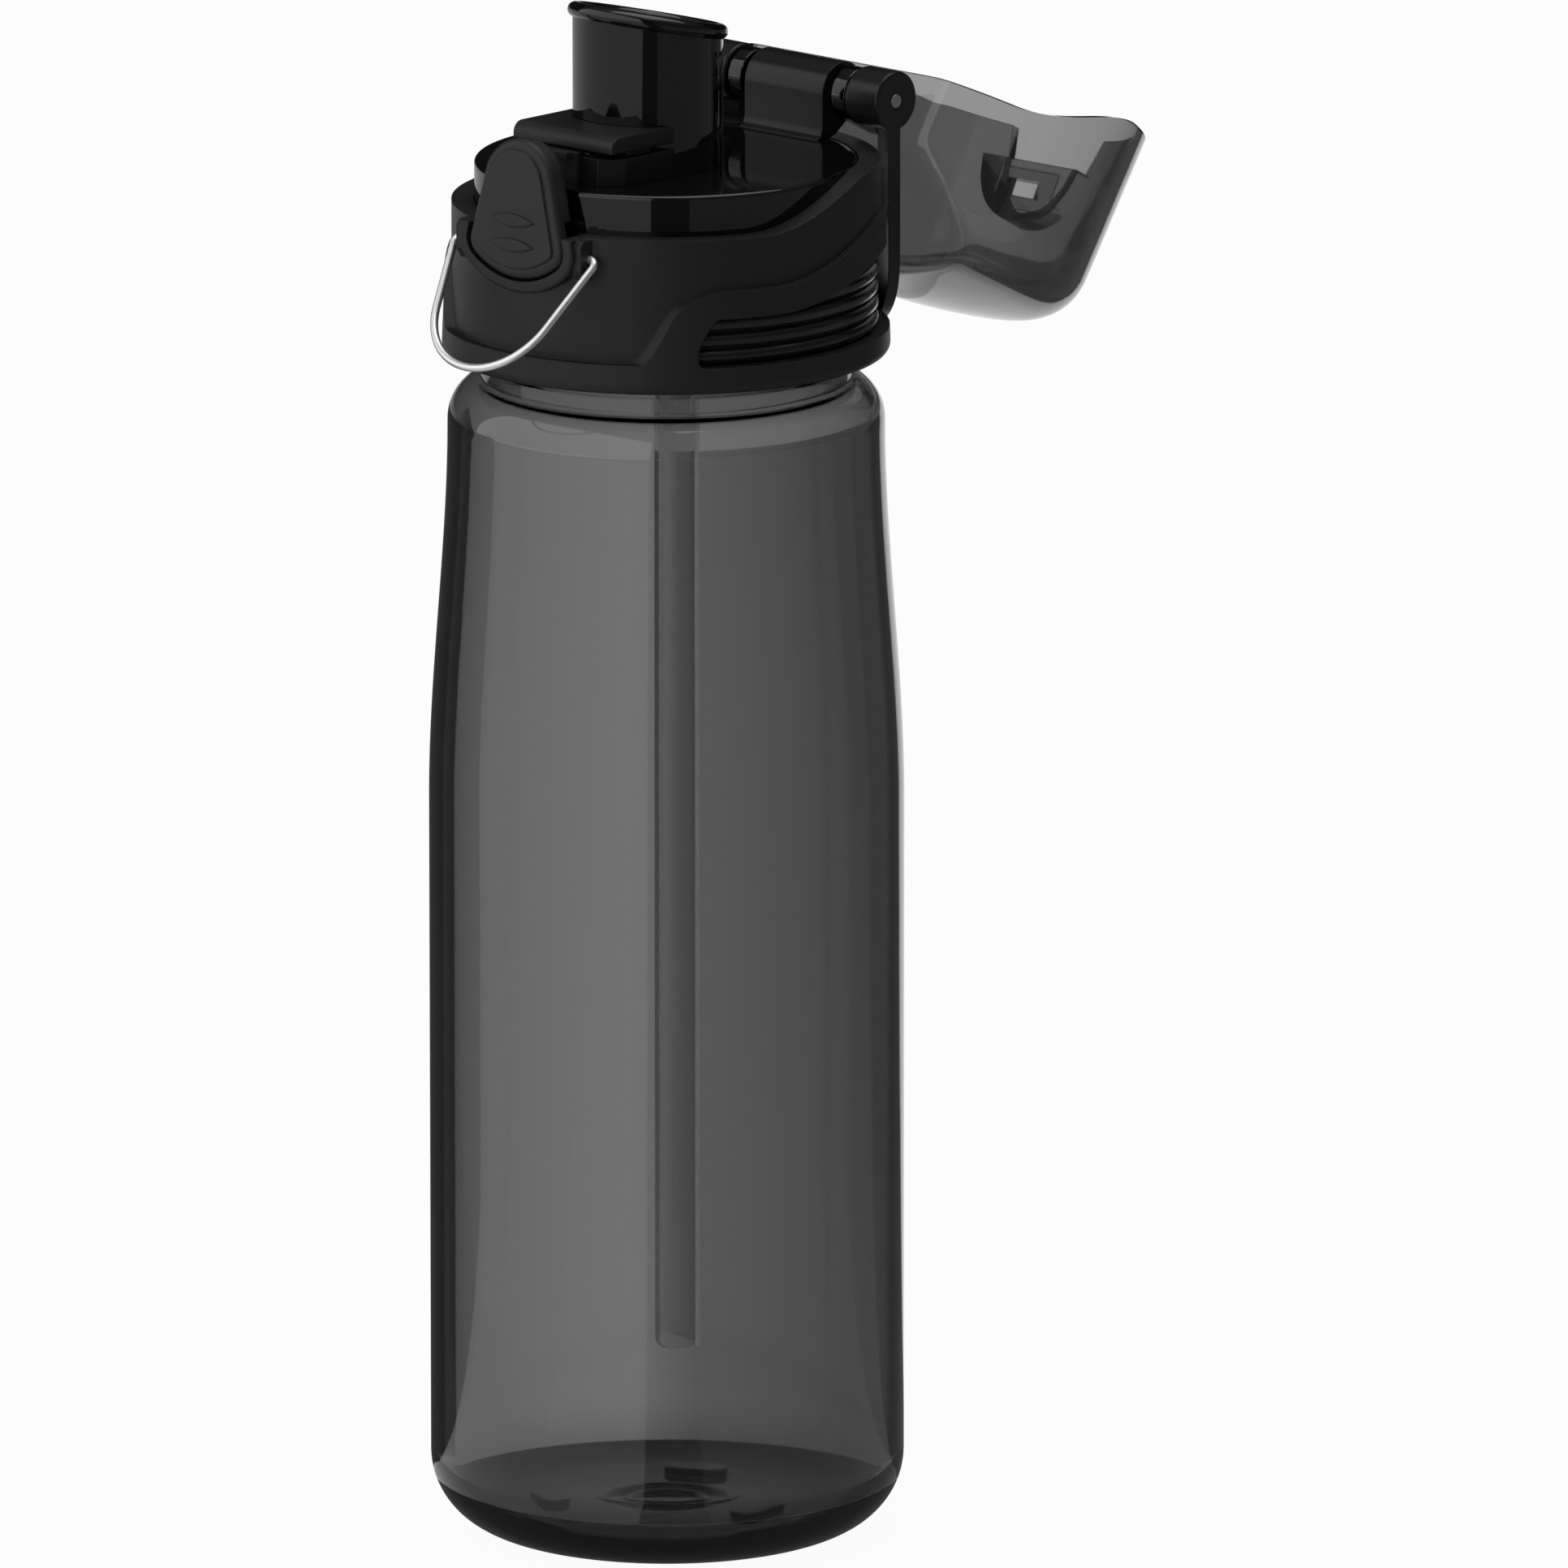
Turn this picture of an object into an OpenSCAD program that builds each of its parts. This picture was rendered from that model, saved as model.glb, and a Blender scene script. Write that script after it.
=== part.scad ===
// Flip-lid drinking bottle: smoke-clear body, screw cap with spout, straw,
// push-button latch, wire bail and carry loop. Millimetres, +Z up.
// The origin is the centre of the flat base, the button faces -Y and the
// lid's hinge is at +Y. The lid is drawn open, folded back behind the cap.

/* [Bottle] */
// Outside diameter of the straight body
body_d = 73; // [68:0.5:80]
// Wall thickness of the bottle
body_wall = 2; // [1.6:0.1:2.4]
// Thickness of the floor
floor_t = 3; // [2.4:0.1:4]
// Radius of the rounded corner at the base
base_corner_r = 12; // [9:0.5:14]
// Height at which the side starts to draw in
waist_z = 115; // [90:1:130]
// How far the side draws in below the shoulder
draw_in = 3; // [2:0.25:4]
// Radius of the shoulder's rounding
shoulder_r = 7; // [5:0.5:9]
// Height of the shoulder's top, where the neck starts
shoulder_z = 181.5; // [165:0.5:200]
// Distance of the moulded base lugs from the axis
lug_ring_r = 19.2; // [16:0.2:20]
// Length of a base lug along the ring
lug_l = 8.7; // [6:0.1:10]
// Width of a base lug across the ring
lug_w = 3.6; // [3:0.1:4.5]
// Depth of a lug's pocket in the underside
lug_depth = 1.2; // [0.8:0.1:1.6]

/* [Neck] */
// Outside diameter of the neck under the cap
neck_d = 53.2; // [50:0.2:56]
// Wall thickness of the neck
neck_wall = 2.2; // [1.8:0.1:2.6]
// Height of the neck above the shoulder
neck_h = 25.5; // [23:0.5:28]
// Step of the thicker ring at the neck's root
neck_root_step = 1.9; // [1.4:0.1:2.2]
// Height of the ring at the neck's root
neck_root_h = 2.4; // [1.5:0.1:3]
// Thickness of the sealing ring
gasket_t = 1.5; // [1:0.1:2]

/* [Cap] */
// Room for the screw thread between neck and skirt
thread_room = 1.4; // [1.2:0.1:1.8]
// Wall thickness of the inner cap's skirt
skirt_wall = 1.3; // [1.1:0.1:1.6]
// Height of the skirt below the deck
skirt_h = 28; // [26:0.5:29]
// Thickness of the inner cap's deck
deck_t = 3.8; // [3.4:0.1:4.4]
// Depth from the deck to the face on the sealing ring
head_h = 6.3; // [5.6:0.1:7]
// Wall thickness of the outer collar
collar_wall = 3.4; // [2.8:0.1:4]
// Height of the outer collar
collar_h = 30; // [29.5:0.25:32]
// Drop of the lid's ledge at the front, below the deck
ledge_drop = 6.2; // [5:0.1:7]
// How far the raised band stands out at its foot
band_step = 1.5; // [1:0.1:2]
// How far the raised band stands out at its upper edge
band_step_top = 0.7; // [0.5:0.1:1]
// Distance from rib to rib in the grip
rib_pitch = 2.55; // [2.2:0.05:2.8]
// Number of grip ribs
rib_count = 5; // [4:1:5]

/* [Spout] */
// Outside diameter of the spout
spout_d = 23; // [20:0.5:24]
// Wall thickness of the spout
spout_wall = 2; // [1.6:0.1:2.4]
// Height of the mouth's middle above the deck
spout_h = 22; // [16:0.5:23]
// Slant of the mouth, higher at the front
mouth_tilt = 13; // [8:0.5:15]
// Thickness of the rolled lip
lip_t = 2.4; // [2:0.1:2.8]
// Distance of the spout's axis ahead of the cap's axis
spout_offset = 4; // [3:0.25:5]

/* [Straw] */
// Outside diameter of the straw
straw_d = 6.9; // [6:0.1:8]
// Wall thickness of the straw
straw_wall = 0.8; // [0.6:0.1:1]
// Height of the straw's lower end above the floor
straw_gap = 25; // [12:1:40]
// Distance of the straw behind the cap's axis
straw_offset = 2.3; // [1:0.1:3]

/* [Latch] */
// Half width of the button at its lower corners
button_half_w = 9.75; // [9:0.05:10.5]
// Radius of the button's round top
button_top_r = 7.2; // [6.6:0.1:7.6]
// Height of the button's top above the deck
button_top = 7.8; // [7:0.1:9]
// Depth of the button's lower edge below the deck
button_bottom = 13.7; // [12.5:0.1:14]
// Radius of the button's bowed lower edge
button_foot_r = 14.5; // [13:0.5:18]
// Lean of the button's face, its top further back
button_lean = 3; // [0:0.5:4]
// Thickness of the button's plate
button_t = 1.8; // [1.6:0.1:2.2]
// Depth of the button's head above the collar
button_head_t = 3.9; // [3:0.1:4.2]
// Travel of the button when it is pressed
button_travel = 1.6; // [1.2:0.1:1.6]
// Width of the bezel round the button
bezel_w = 1.8; // [1.4:0.1:2.2]
// Half width of the hood and the block under it
hood_half_w = 10.4; // [9:0.1:11]
// Height of the block under the hood
block_h = 4.2; // [3.8:0.1:4.6]
// Thickness of the hood
hood_t = 2.5; // [2:0.1:3]
// Slot between block and hood
slot_h = 1; // [0.8:0.1:1.4]
// Wire diameter of the button's spring
spring_wire = 0.5; // [0.4:0.05:0.55]
// Turns of the button's spring
spring_turns = 4.5; // [3.5:0.5:4.5]

/* [Bail] */
// Wire diameter of the bail
bail_wire = 1.25; // [1:0.05:1.4]
// Half the distance between the bail's legs at the pivots
bail_half_w = 14.6; // [14.3:0.1:15.5]
// Reach of the bail from its pivots
bail_reach = 21.2; // [19:0.2:23]
// Radius of the bail's round end
bail_end_r = 12; // [11:0.1:12.5]
// Depth of the pivots below the deck
bail_drop = 9.3; // [8.8:0.1:10]
// Angle of the bail out from hanging straight down
bail_angle = 39; // [20:1:60]

/* [Lid] */
// Wall thickness of the lid
lid_wall = 1.6; // [1.3:0.1:2]
// Height of the lid's crown above the deck when it is shut
lid_crown = 29; // [28.5:0.5:33]
// Radius of the domed top
dome_r = 100; // [80:5:140]
// Radius of the rounding between side and top
lid_round = 9; // [6:0.5:10]
// Draft of the lid's side
lid_draft = 4; // [2:0.5:5]
// Angle of the open lid, measured from shut
lid_open = 208; // [190:1:208]
// Height of the flat back wall above the deck
lid_back_h = 11.6; // [11:0.1:12.5]
// Lean of the slanted back above the flat wall
lid_back_lean = 43; // [38:1:46]
// Radius of the sealing pad under the crown
pad_r = 3.7; // [3:0.1:5]
// Thickness of the sealing pad
pad_t = 1.2; // [0.8:0.1:1.4]

/* [Hinge and loop] */
// Diameter of the hinge pin
pin_d = 2.3; // [2:0.1:2.6]
// Radius of the hinge knuckles
knuckle_r = 4.6; // [4.2:0.1:4.8]
// Height of the hinge axis above the deck
hinge_h = 6.9; // [6.6:0.1:7.4]
// Half width of the cap's hinge barrel
barrel_half_w = 8.2; // [7:0.1:8.6]
// Gap between the cap's barrel and the lid's knuckles
barrel_gap = 1.2; // [0.5:0.1:1.6]
// Width of each lid knuckle
lid_knuckle_w = 2.9; // [2.4:0.1:3.2]
// Width of each loop knuckle
loop_knuckle_w = 6.8; // [6:0.1:7]
// Width of the loop's legs
loop_leg_w = 4.8; // [4:0.1:5.2]
// Thickness of the loop
loop_t = 2.2; // [1.8:0.1:2.4]
// Length of the loop below the hinge axis
loop_l = 37.5; // [34:0.5:38]
// Height of the loop's lower bar
loop_bar_h = 5; // [4:0.1:6]
// Radius of the loop's outer lower corners
loop_corner_r = 13; // [10:0.5:15]

/* [Clearances] */
// Gap between pieces that move past each other
run_gap = 0.4; // [0.35:0.05:0.5]
// Gap round pieces that are fixed in a seat
fit_gap = 0.1; // [0.05:0.01:0.15]
// Radial clearance of the hinge pin in its knuckles
pin_gap = 0.06; // [0.04:0.01:0.09]

/* [Hidden] */
$fn = 96;
// Overshoot of a cut past the surface it opens
over = 1;
// Reach of cutting shapes that have to pass the whole cap
far = 60;
// Steps along a curved stretch of an outline
arc_steps = 10;

// Radii that follow from the bottle and the neck
body_r = body_d / 2;
taper_top_z = shoulder_z - shoulder_r;
shoulder_c = body_r - draw_in - shoulder_r;
neck_r = neck_d / 2;
neck_bore_r = neck_r - neck_wall;
neck_root_r = neck_r + neck_root_step;
neck_top_z = shoulder_z + neck_h;

// The cap's own heights are measured from the deck
deck_z = neck_top_z + gasket_t + 2 * fit_gap + head_h;
skirt_bore_r = neck_r + thread_room;
deck_r = skirt_bore_r + skirt_wall;
deck_edge = 0.6;
seal_ring_w = 7.3;
head_bore_r = deck_r - seal_ring_w;
collar_bore_r = deck_r + fit_gap;
collar_r = collar_bore_r + collar_wall;
band_r = collar_r + band_step;
band_top_r = collar_r + band_step_top;
collar_foot_round = 1.6;

// Where the ledge for the lid climbs from the front to the back
ledge_start_y = -11;
ledge_end_y = 14;
// The raised band: low front, steep rise to a knee, plateau, then a climb to the back
band_front_z = -collar_h + 4.7;
band_rise_y = -27.6;
band_rise_w = 5.2;
band_knee_z = -16.3;
band_knee_y = -23.5;
band_knee_w = 6.5;
band_plateau_z = -14.1;
band_climb_y = -10;
band_climb_w = 32;
band_back_z = -7;
// The window in the collar that shows the ribbed grip
window_foot_z = -collar_h + 4.2;
window_front_z = -18.3;
window_end = [[-20, window_foot_z], [-20.75, window_foot_z + 0.3], [-21.1, window_foot_z + 1.2],
    [-21, -22.9], [-20.2, -20.9], [-19.5, -19.6], [-18.8, window_front_z]];
window_mid_z = (window_foot_z + window_front_z) / 2;
window_back_z = window_foot_z + rib_count * rib_pitch;
window_climb_y = -10;
window_climb_w = 31;
rib_share = 0.4;
rib_sunk = 0.3;
rib_r = rib_pitch * rib_share;
rib_root_r = collar_r - rib_r - rib_sunk;

// The spout and what hangs under it
spout_r = spout_d / 2;
spout_bore_r = spout_r - spout_wall;
spigot_step = 0.9;
spigot_r = spout_r - spigot_step;
spigot_l = deck_t + 2;
lip_in = 0.3;
lip_r = spout_r - lip_in;
socket_wall = 1.5;
socket_r = spigot_r + fit_gap + socket_wall;
socket_floor_t = 1.8;
sleeve_wall = 1.1;
sleeve_l = 11;
straw_r = straw_d / 2;
straw_cut = 20;
straw_foot_z = floor_t + straw_gap;
vent_x = -14.5;
vent_y = 7;
vent_stem_r = 1.2;
vent_cap_r = 3.4;
vent_cap_t = 0.9;

// The latch, from the button's face to the catch in the lid
button_back_y = -(deck_r + button_travel + run_gap);
button_face_y = button_back_y - button_t;
button_corner_r = 2.9;
button_corner_x = button_half_w - button_corner_r;
button_foot_z = -button_bottom + button_foot_r;
button_corner_z = button_foot_z - sqrt(pow(button_foot_r - button_corner_r, 2) - pow(button_corner_x, 2));
button_arch_z = button_top - button_top_r;
panel_inset = 1.6;
panel_rise = 0.45;
grip_rise = 0.45;
grip_w = 9;
grip_h = 2;
grip_zs = [-4.6, -8.4];
bezel_proud = 0.3;
bezel_front_y = button_face_y - bezel_proud;
bezel_back_y = -collar_bore_r - 2 * fit_gap;
hood_front_y = -22.9;
hood_back_y = -7;
hood_round = 1.8;
block_chamfer = 3;
hood_z = block_h + slot_h;
catch_t = 1.6;
hood_room = 1.1;
catch_back_y = hood_front_y - hood_room;
catch_window_w = 6.4;
catch_window_z = 3.4;
catch_window_h = 2.8;
catch_frame_w = 12;
catch_frame_h = 6.7;
catch_frame_t = 0.5;
stem_half_w = 3.8;
stem_z = -2.3;
stem_h = 1.8;
post_front_y = catch_back_y + run_gap;
post_t = 1.8;
nose_bite = 0.9;
nose_h = 1;
nose_z = catch_window_z + run_gap;
latch_slot_half_w = stem_half_w + run_gap;
latch_slot_wall = 1.2;
latch_slot_end_y = -(spout_offset + spout_r + latch_slot_wall);
latch_floor_z = stem_z - run_gap;
front_pocket_half_w = button_half_w - run_gap / 2;
front_pocket_y = -26.2;
front_pocket_z = -4.8;
button_head_z = front_pocket_z + 2 * run_gap;
spring_z = (block_h + stem_z + stem_h) / 2;
spring_r = 1.35;
spring_start_y = post_front_y + post_t + fit_gap;
spring_end_y = latch_slot_end_y - fit_gap;

// The bail and the lugs it turns in
bail_sunk = 2.1;
bail_y = -(collar_r - bail_sunk);
bail_z = -bail_drop;
bail_bend_r = 1.3;
bail_end_x = 11.6;
lug_in_x = button_half_w;
lug_room = 0.9;
lug_out_x = bail_half_w - bail_wire / 2 - lug_room;
lug_front = 1.9;
lug_up = 2.9;
lug_down = 3.1;
bail_hole_r = bail_wire / 2 + pin_gap;
wire_sides = 10;

// The lid, drawn shut in the cap's own heights and then turned open
lid_gap = run_gap;
lid_r = deck_r + lid_gap + lid_wall;
lid_taper = tan(lid_draft);
hinge_back = 1.5;
hinge_y = deck_r + hinge_back;
arm_l = 2.4;
lid_back_y = hinge_y - knuckle_r - arm_l;
arm_draft = 0.5;
rim_gap = run_gap + fit_gap;
tunnel_gap = 0.8;
lid_knuckle_x = barrel_half_w + barrel_gap;
loop_knuckle_x = lid_knuckle_x + lid_knuckle_w + 3 * fit_gap;
loop_out_x = loop_knuckle_x + loop_knuckle_w;
pin_r = pin_d / 2;
lid_knuckle_r = knuckle_r - run_gap;
pad_nub_r = 0.9;
pad_nub_t = 0.5;

// The pedestal flares at its front foot and stays inside the deck's edge at its corners
pedestal_flare = 1.4;
pedestal_flare_h = 1.2;
pedestal_touch = -37;
pedestal_back_y = sqrt(deck_r * deck_r - barrel_half_w * barrel_half_w) - 3 * fit_gap;

// The loop hangs close behind the collar
loop_in_r = band_r + run_gap + 2 * fit_gap;
loop_out_r = loop_in_r + loop_t;
loop_in_x = loop_out_x - loop_leg_w;

// A smooth step from 0 to 1, level at both ends
function ease(t) = let (u = min(1, max(0, t))) u * u * (3 - 2 * u);

// Points of an arc round a centre, in degrees
function arc(c, r, a0, a1) = [
    for (i = [0 : arc_steps]) let (a = a0 + (a1 - a0) * i / arc_steps) c + r * [cos(a), sin(a)]
];

// Side of the bottle between base and shoulder, drawn in by a wall of the given thickness
function side_curve(wall) = [
    for (i = [0 : arc_steps])
        [body_r - wall - draw_in * ease(i / arc_steps), waist_z + (taper_top_z - waist_z) * i / arc_steps]
];

function reversed(list) = [for (i = [len(list) - 1 : -1 : 0]) list[i]];

// Heights of the ledge, the raised band and the window at a place from front to back
function ledge_at(y) = -ledge_drop * (1 - ease((y - ledge_start_y) / (ledge_end_y - ledge_start_y)));
function band_at(y) = band_front_z + (band_knee_z - band_front_z) * ease((y - band_rise_y) / band_rise_w)
    + (band_plateau_z - band_knee_z) * ease((y - band_knee_y) / band_knee_w)
    + (band_back_z - band_plateau_z) * ease((y - band_climb_y) / band_climb_w);
function window_at(y) = window_front_z
    + (window_back_z - window_front_z) * ease((y - window_climb_y) / window_climb_w);

// A tube of round section along a list of points, in a plane that holds the X axis
module tube(path, r, sides) {
    last = len(path) - 1;
    rings = [
        for (i = [0 : last])
            let (
                a = path[max(0, i - 1)],
                b = path[min(last, i + 1)],
                t = (b - a) / norm(b - a),
                up = cross([1, 0, 0], [0, -sin(bail_angle), -cos(bail_angle)]),
                side = cross(t, up)
            )
            [for (k = [0 : sides - 1])
                let (a = 360 * k / sides)
                path[i] + r * (up * cos(a) + side * sin(a))]
    ];
    skin(rings, sides);
}

// A closed skin over rings of points, capped at both ends
module skin(rings, sides) {
    last = len(rings) - 1;
    points = [for (ring = rings) each ring];
    walls = [
        for (i = [0 : last - 1], k = [0 : sides - 1])
            let (n = (k + 1) % sides, a = i * sides + k, b = i * sides + n, c = a + sides, d = b + sides)
            each [[a, b, c], [b, d, c]]
    ];
    foot = [for (k = [1 : sides - 2]) [0, k + 1, k]];
    head = [for (k = [1 : sides - 2]) [last * sides, last * sides + k, last * sides + k + 1]];
    polyhedron(points, concat(walls, foot, head), convexity = 6);
}

// A shape drawn in (Y, Z) and carried across X, from -half_w to half_w
module across(half_w) {
    rotate([90, 0, 90])
        translate([0, 0, -half_w])
            linear_extrude(2 * half_w)
                children();
}

// A shape drawn in (X, Z) and carried along Y, from front to back
module along(front_y, back_y) {
    translate([0, back_y, 0])
        rotate([90, 0, 0])
            linear_extrude(back_y - front_y)
                children();
}

// A cylinder along X, centred on the cap's middle plane
module rod(r, half_w, y, z) {
    translate([-half_w, y, z])
        rotate([0, 90, 0])
            cylinder(r = r, h = 2 * half_w);
}

// The same shape on the left and on the right
module both_sides() {
    for (s = [0, 1])
        mirror([s, 0, 0])
            children();
}

// The button's outline, grown outwards by a margin: a bowed foot, two round corners and a round top
module arch(grow) {
    r_top = button_top_r + grow;
    r_low = button_corner_r + grow;
    r_foot = button_foot_r + grow;
    dx = button_corner_x;
    dz = button_arch_z - button_corner_z;
    run = norm([dx, dz]);
    // Direction square to the line that touches both circles on the right
    turn = atan2(dx, dz) + asin((r_low - r_top) / run);
    low = [dx, button_corner_z];
    top = [0, button_arch_z];
    foot = [0, button_foot_z];
    // Direction in which the foot's arc and the corner's arc meet
    meet = atan2(button_corner_z - button_foot_z, dx);
    right = concat(
        arc(foot, r_foot, -90, meet),
        arc(low, r_low, meet + (turn - meet) / arc_steps, turn),
        arc(top, r_top, turn, 90)
    );
    polygon(concat(right, [for (i = [len(right) - 2 : -1 : 1]) [-right[i][0], right[i][1]]]));
}

// Everything below the lid's ledge, moved up or down by an offset
module under_ledge(offset_z) {
    across(far)
        polygon(concat(
            [[-far, -far], [-far, ledge_at(-far) + offset_z]],
            [for (i = [0 : 2 * arc_steps])
                let (y = ledge_start_y + (ledge_end_y - ledge_start_y) * i / (2 * arc_steps))
                [y, ledge_at(y) + offset_z]],
            [[far, offset_z], [far, -far]]
        ));
}

// Everything below the raised band's upper edge
module under_band() {
    ys = concat(
        [for (i = [0 : arc_steps - 1]) band_rise_y + (band_knee_y - band_rise_y) * i / arc_steps],
        [for (i = [0 : arc_steps]) band_knee_y + band_knee_w * i / arc_steps],
        [for (i = [0 : arc_steps]) band_climb_y + band_climb_w * i / arc_steps]
    );
    across(far)
        polygon(concat([[-far, -far], [-far, band_front_z]], [for (y = ys) [y, band_at(y)]],
            [[far, band_back_z], [far, -far]]));
}

// The window for the grip, grown or shrunk by a margin
module window(grow) {
    across(far)
        polygon(concat(
            [[far, window_foot_z - grow]],
            [for (p = window_end) p + [-grow, p[1] > window_mid_z ? grow : -grow]],
            [for (i = [0 : arc_steps])
                let (y = window_climb_y + window_climb_w * i / arc_steps) [y, window_at(y) + grow]],
            [[far, window_back_z + grow]]
        ));
}

// One lug of the base, laid along its ring
module base_lug(w, l, h) {
    translate([lug_ring_r, 0, 0])
        linear_extrude(h) {
            square([w, l - w], center = true);
            for (s = [-1, 1])
                translate([0, s * (l - w) / 2])
                    circle(w / 2);
        }
}

module bottle_body() {
    lip = neck_wall / 2;
    corner_c = [body_r - base_corner_r, base_corner_r];
    in_corner_r = base_corner_r - body_wall;
    in_corner_z = floor_t + in_corner_r;
    in_shoulder_r = shoulder_r - body_wall;
    in_start = neck_bore_r < shoulder_c ? 90 : acos((neck_bore_r - shoulder_c) / in_shoulder_r);
    shoulder_end = acos((neck_root_r - shoulder_c) / shoulder_r);
    outer = concat(
        [[0, 0]],
        arc(corner_c, base_corner_r, -90, 0),
        side_curve(0),
        arc([shoulder_c, taper_top_z], shoulder_r, shoulder_end / arc_steps, shoulder_end),
        [[neck_root_r, shoulder_z + neck_root_h], [neck_r, shoulder_z + neck_root_h + neck_root_step]],
        arc([neck_r - lip, neck_top_z - lip], lip, 0, 180)
    );
    inner = concat(
        [[neck_bore_r, taper_top_z + in_shoulder_r * sin(in_start)]],
        arc([shoulder_c, taper_top_z], in_shoulder_r, in_start, in_start / arc_steps),
        reversed(side_curve(body_wall)),
        arc([corner_c[0], in_corner_z], in_corner_r, 0, -90),
        [[0, floor_t]]
    );
    ring_h = 0.8;
    ring_w = 1.4;
    ring_rs = [0.32, 0.52] * lug_ring_r;
    color([0.3, 0.3, 0.31, 0.5])
        difference() {
            union() {
                rotate_extrude()
                    polygon(concat(outer, inner));
                // Raised rings and lugs moulded into the floor
                for (r = ring_rs)
                    translate([0, 0, floor_t - ring_h])
                        difference() {
                            cylinder(r = r + ring_w / 2, h = 2 * ring_h);
                            translate([0, 0, -over])
                                cylinder(r = r - ring_w / 2, h = 2 * ring_h + 2 * over);
                        }
                for (i = [0 : 2])
                    rotate(120 * i)
                        translate([0, 0, floor_t - ring_h])
                            base_lug(lug_w + ring_w, lug_l + ring_w, ring_h + lug_depth);
            }
            for (i = [0 : 2])
                rotate(120 * i)
                    translate([0, 0, -over])
                        base_lug(lug_w, lug_l, lug_depth + over);
        }
}

module neck_gasket() {
    inside = 0.5;
    outside = 0.6;
    color("whitesmoke")
        translate([0, 0, neck_top_z + fit_gap])
            rotate_extrude()
                translate([neck_bore_r - inside, 0])
                    square([inside + neck_wall + outside, gasket_t]);
}

// Middle of a rib, and the place behind which the window is high enough for the whole rib
function rib_z(i) = window_foot_z + rib_pitch * (i + 0.5);
function rib_start(i) =
    let (
        top = rib_z(i) + rib_r + fit_gap,
        steps = 6 * arc_steps,
        places = [for (k = [0 : steps]) window_climb_y + window_climb_w * k / steps]
    )
    top < window_front_z ? -far : [for (y = places) if (window_at(y) > top) y][0];

// The rib panel: a backing ring with half-round ribs, seen through the collar's window
module grip_ribs() {
    intersection() {
        rotate_extrude()
            translate([deck_r - skirt_wall / 2, window_foot_z])
                square([rib_root_r - deck_r + skirt_wall / 2, window_back_z - window_foot_z]);
        window(-fit_gap);
    }
    for (i = [0 : rib_count - 1])
        intersection() {
            rotate_extrude()
                translate([rib_root_r, rib_z(i)])
                    circle(rib_r);
            translate([-far, rib_start(i), -far])
                cube(2 * far);
            window(-fit_gap);
        }
}

// The hinge barrel on its pedestal, in (Y, Z)
module pedestal_outline() {
    translate([hinge_y, hinge_h])
        circle(knuckle_r);
    front_y = hinge_y - knuckle_r;
    polygon([
        [front_y, hinge_h], [front_y, pedestal_flare_h], [front_y - pedestal_flare, 0],
        [front_y - pedestal_flare, -deck_t / 2], [pedestal_back_y, -deck_t / 2], [pedestal_back_y, fit_gap],
        [deck_r - 3 * fit_gap, run_gap],
        [hinge_y + knuckle_r * cos(pedestal_touch), hinge_h + knuckle_r * sin(pedestal_touch)],
        [hinge_y, hinge_h + knuckle_r / 2]
    ]);
}

// The block that carries the hood, with chamfered front corners, in (X, Y)
module block_outline() {
    difference() {
        polygon([
            [-hood_half_w, hood_back_y], [-hood_half_w, hood_front_y + block_chamfer],
            [-hood_half_w + block_chamfer, hood_front_y], [hood_half_w - block_chamfer, hood_front_y],
            [hood_half_w, hood_front_y + block_chamfer], [hood_half_w, hood_back_y]
        ]);
        translate([0, -spout_offset])
            circle(spout_r + fit_gap);
    }
}

module inner_cap() {
    color([0.03, 0.03, 0.035])
        translate([0, 0, deck_z])
            difference() {
                union() {
                    rotate_extrude()
                        polygon(concat(
                            [[0, -deck_t], [head_bore_r, -deck_t], [head_bore_r, -head_h],
                                [skirt_bore_r, -head_h], [skirt_bore_r, -skirt_h], [deck_r, -skirt_h]],
                            arc([deck_r - deck_edge, -deck_edge], deck_edge, 0, 90),
                            [[0, 0]]
                        ));
                    grip_ribs();
                    across(barrel_half_w)
                        pedestal_outline();
                    translate([0, 0, -deck_t / 2])
                        linear_extrude(block_h + deck_t / 2)
                            block_outline();
                }
                // Hole for the spout's spigot
                translate([0, -spout_offset, -deck_t - over])
                    cylinder(r = spigot_r + fit_gap, h = deck_t + 2 * over);
                // Hole for the air vent
                translate([vent_x, vent_y, -deck_t - over])
                    cylinder(r = vent_stem_r + fit_gap, h = deck_t + 2 * over);
                // Pocket behind the button and the latch's slot
                translate([-front_pocket_half_w, -deck_r - over, front_pocket_z])
                    cube([2 * front_pocket_half_w, front_pocket_y + deck_r + over,
                        block_h - front_pocket_z]);
                translate([-latch_slot_half_w, -deck_r - over, latch_floor_z])
                    cube([2 * latch_slot_half_w, latch_slot_end_y + deck_r + over,
                        block_h + over - latch_floor_z]);
                rod(pin_r + fit_gap / 4, barrel_half_w + over, hinge_y, hinge_h);
            }
}

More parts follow.
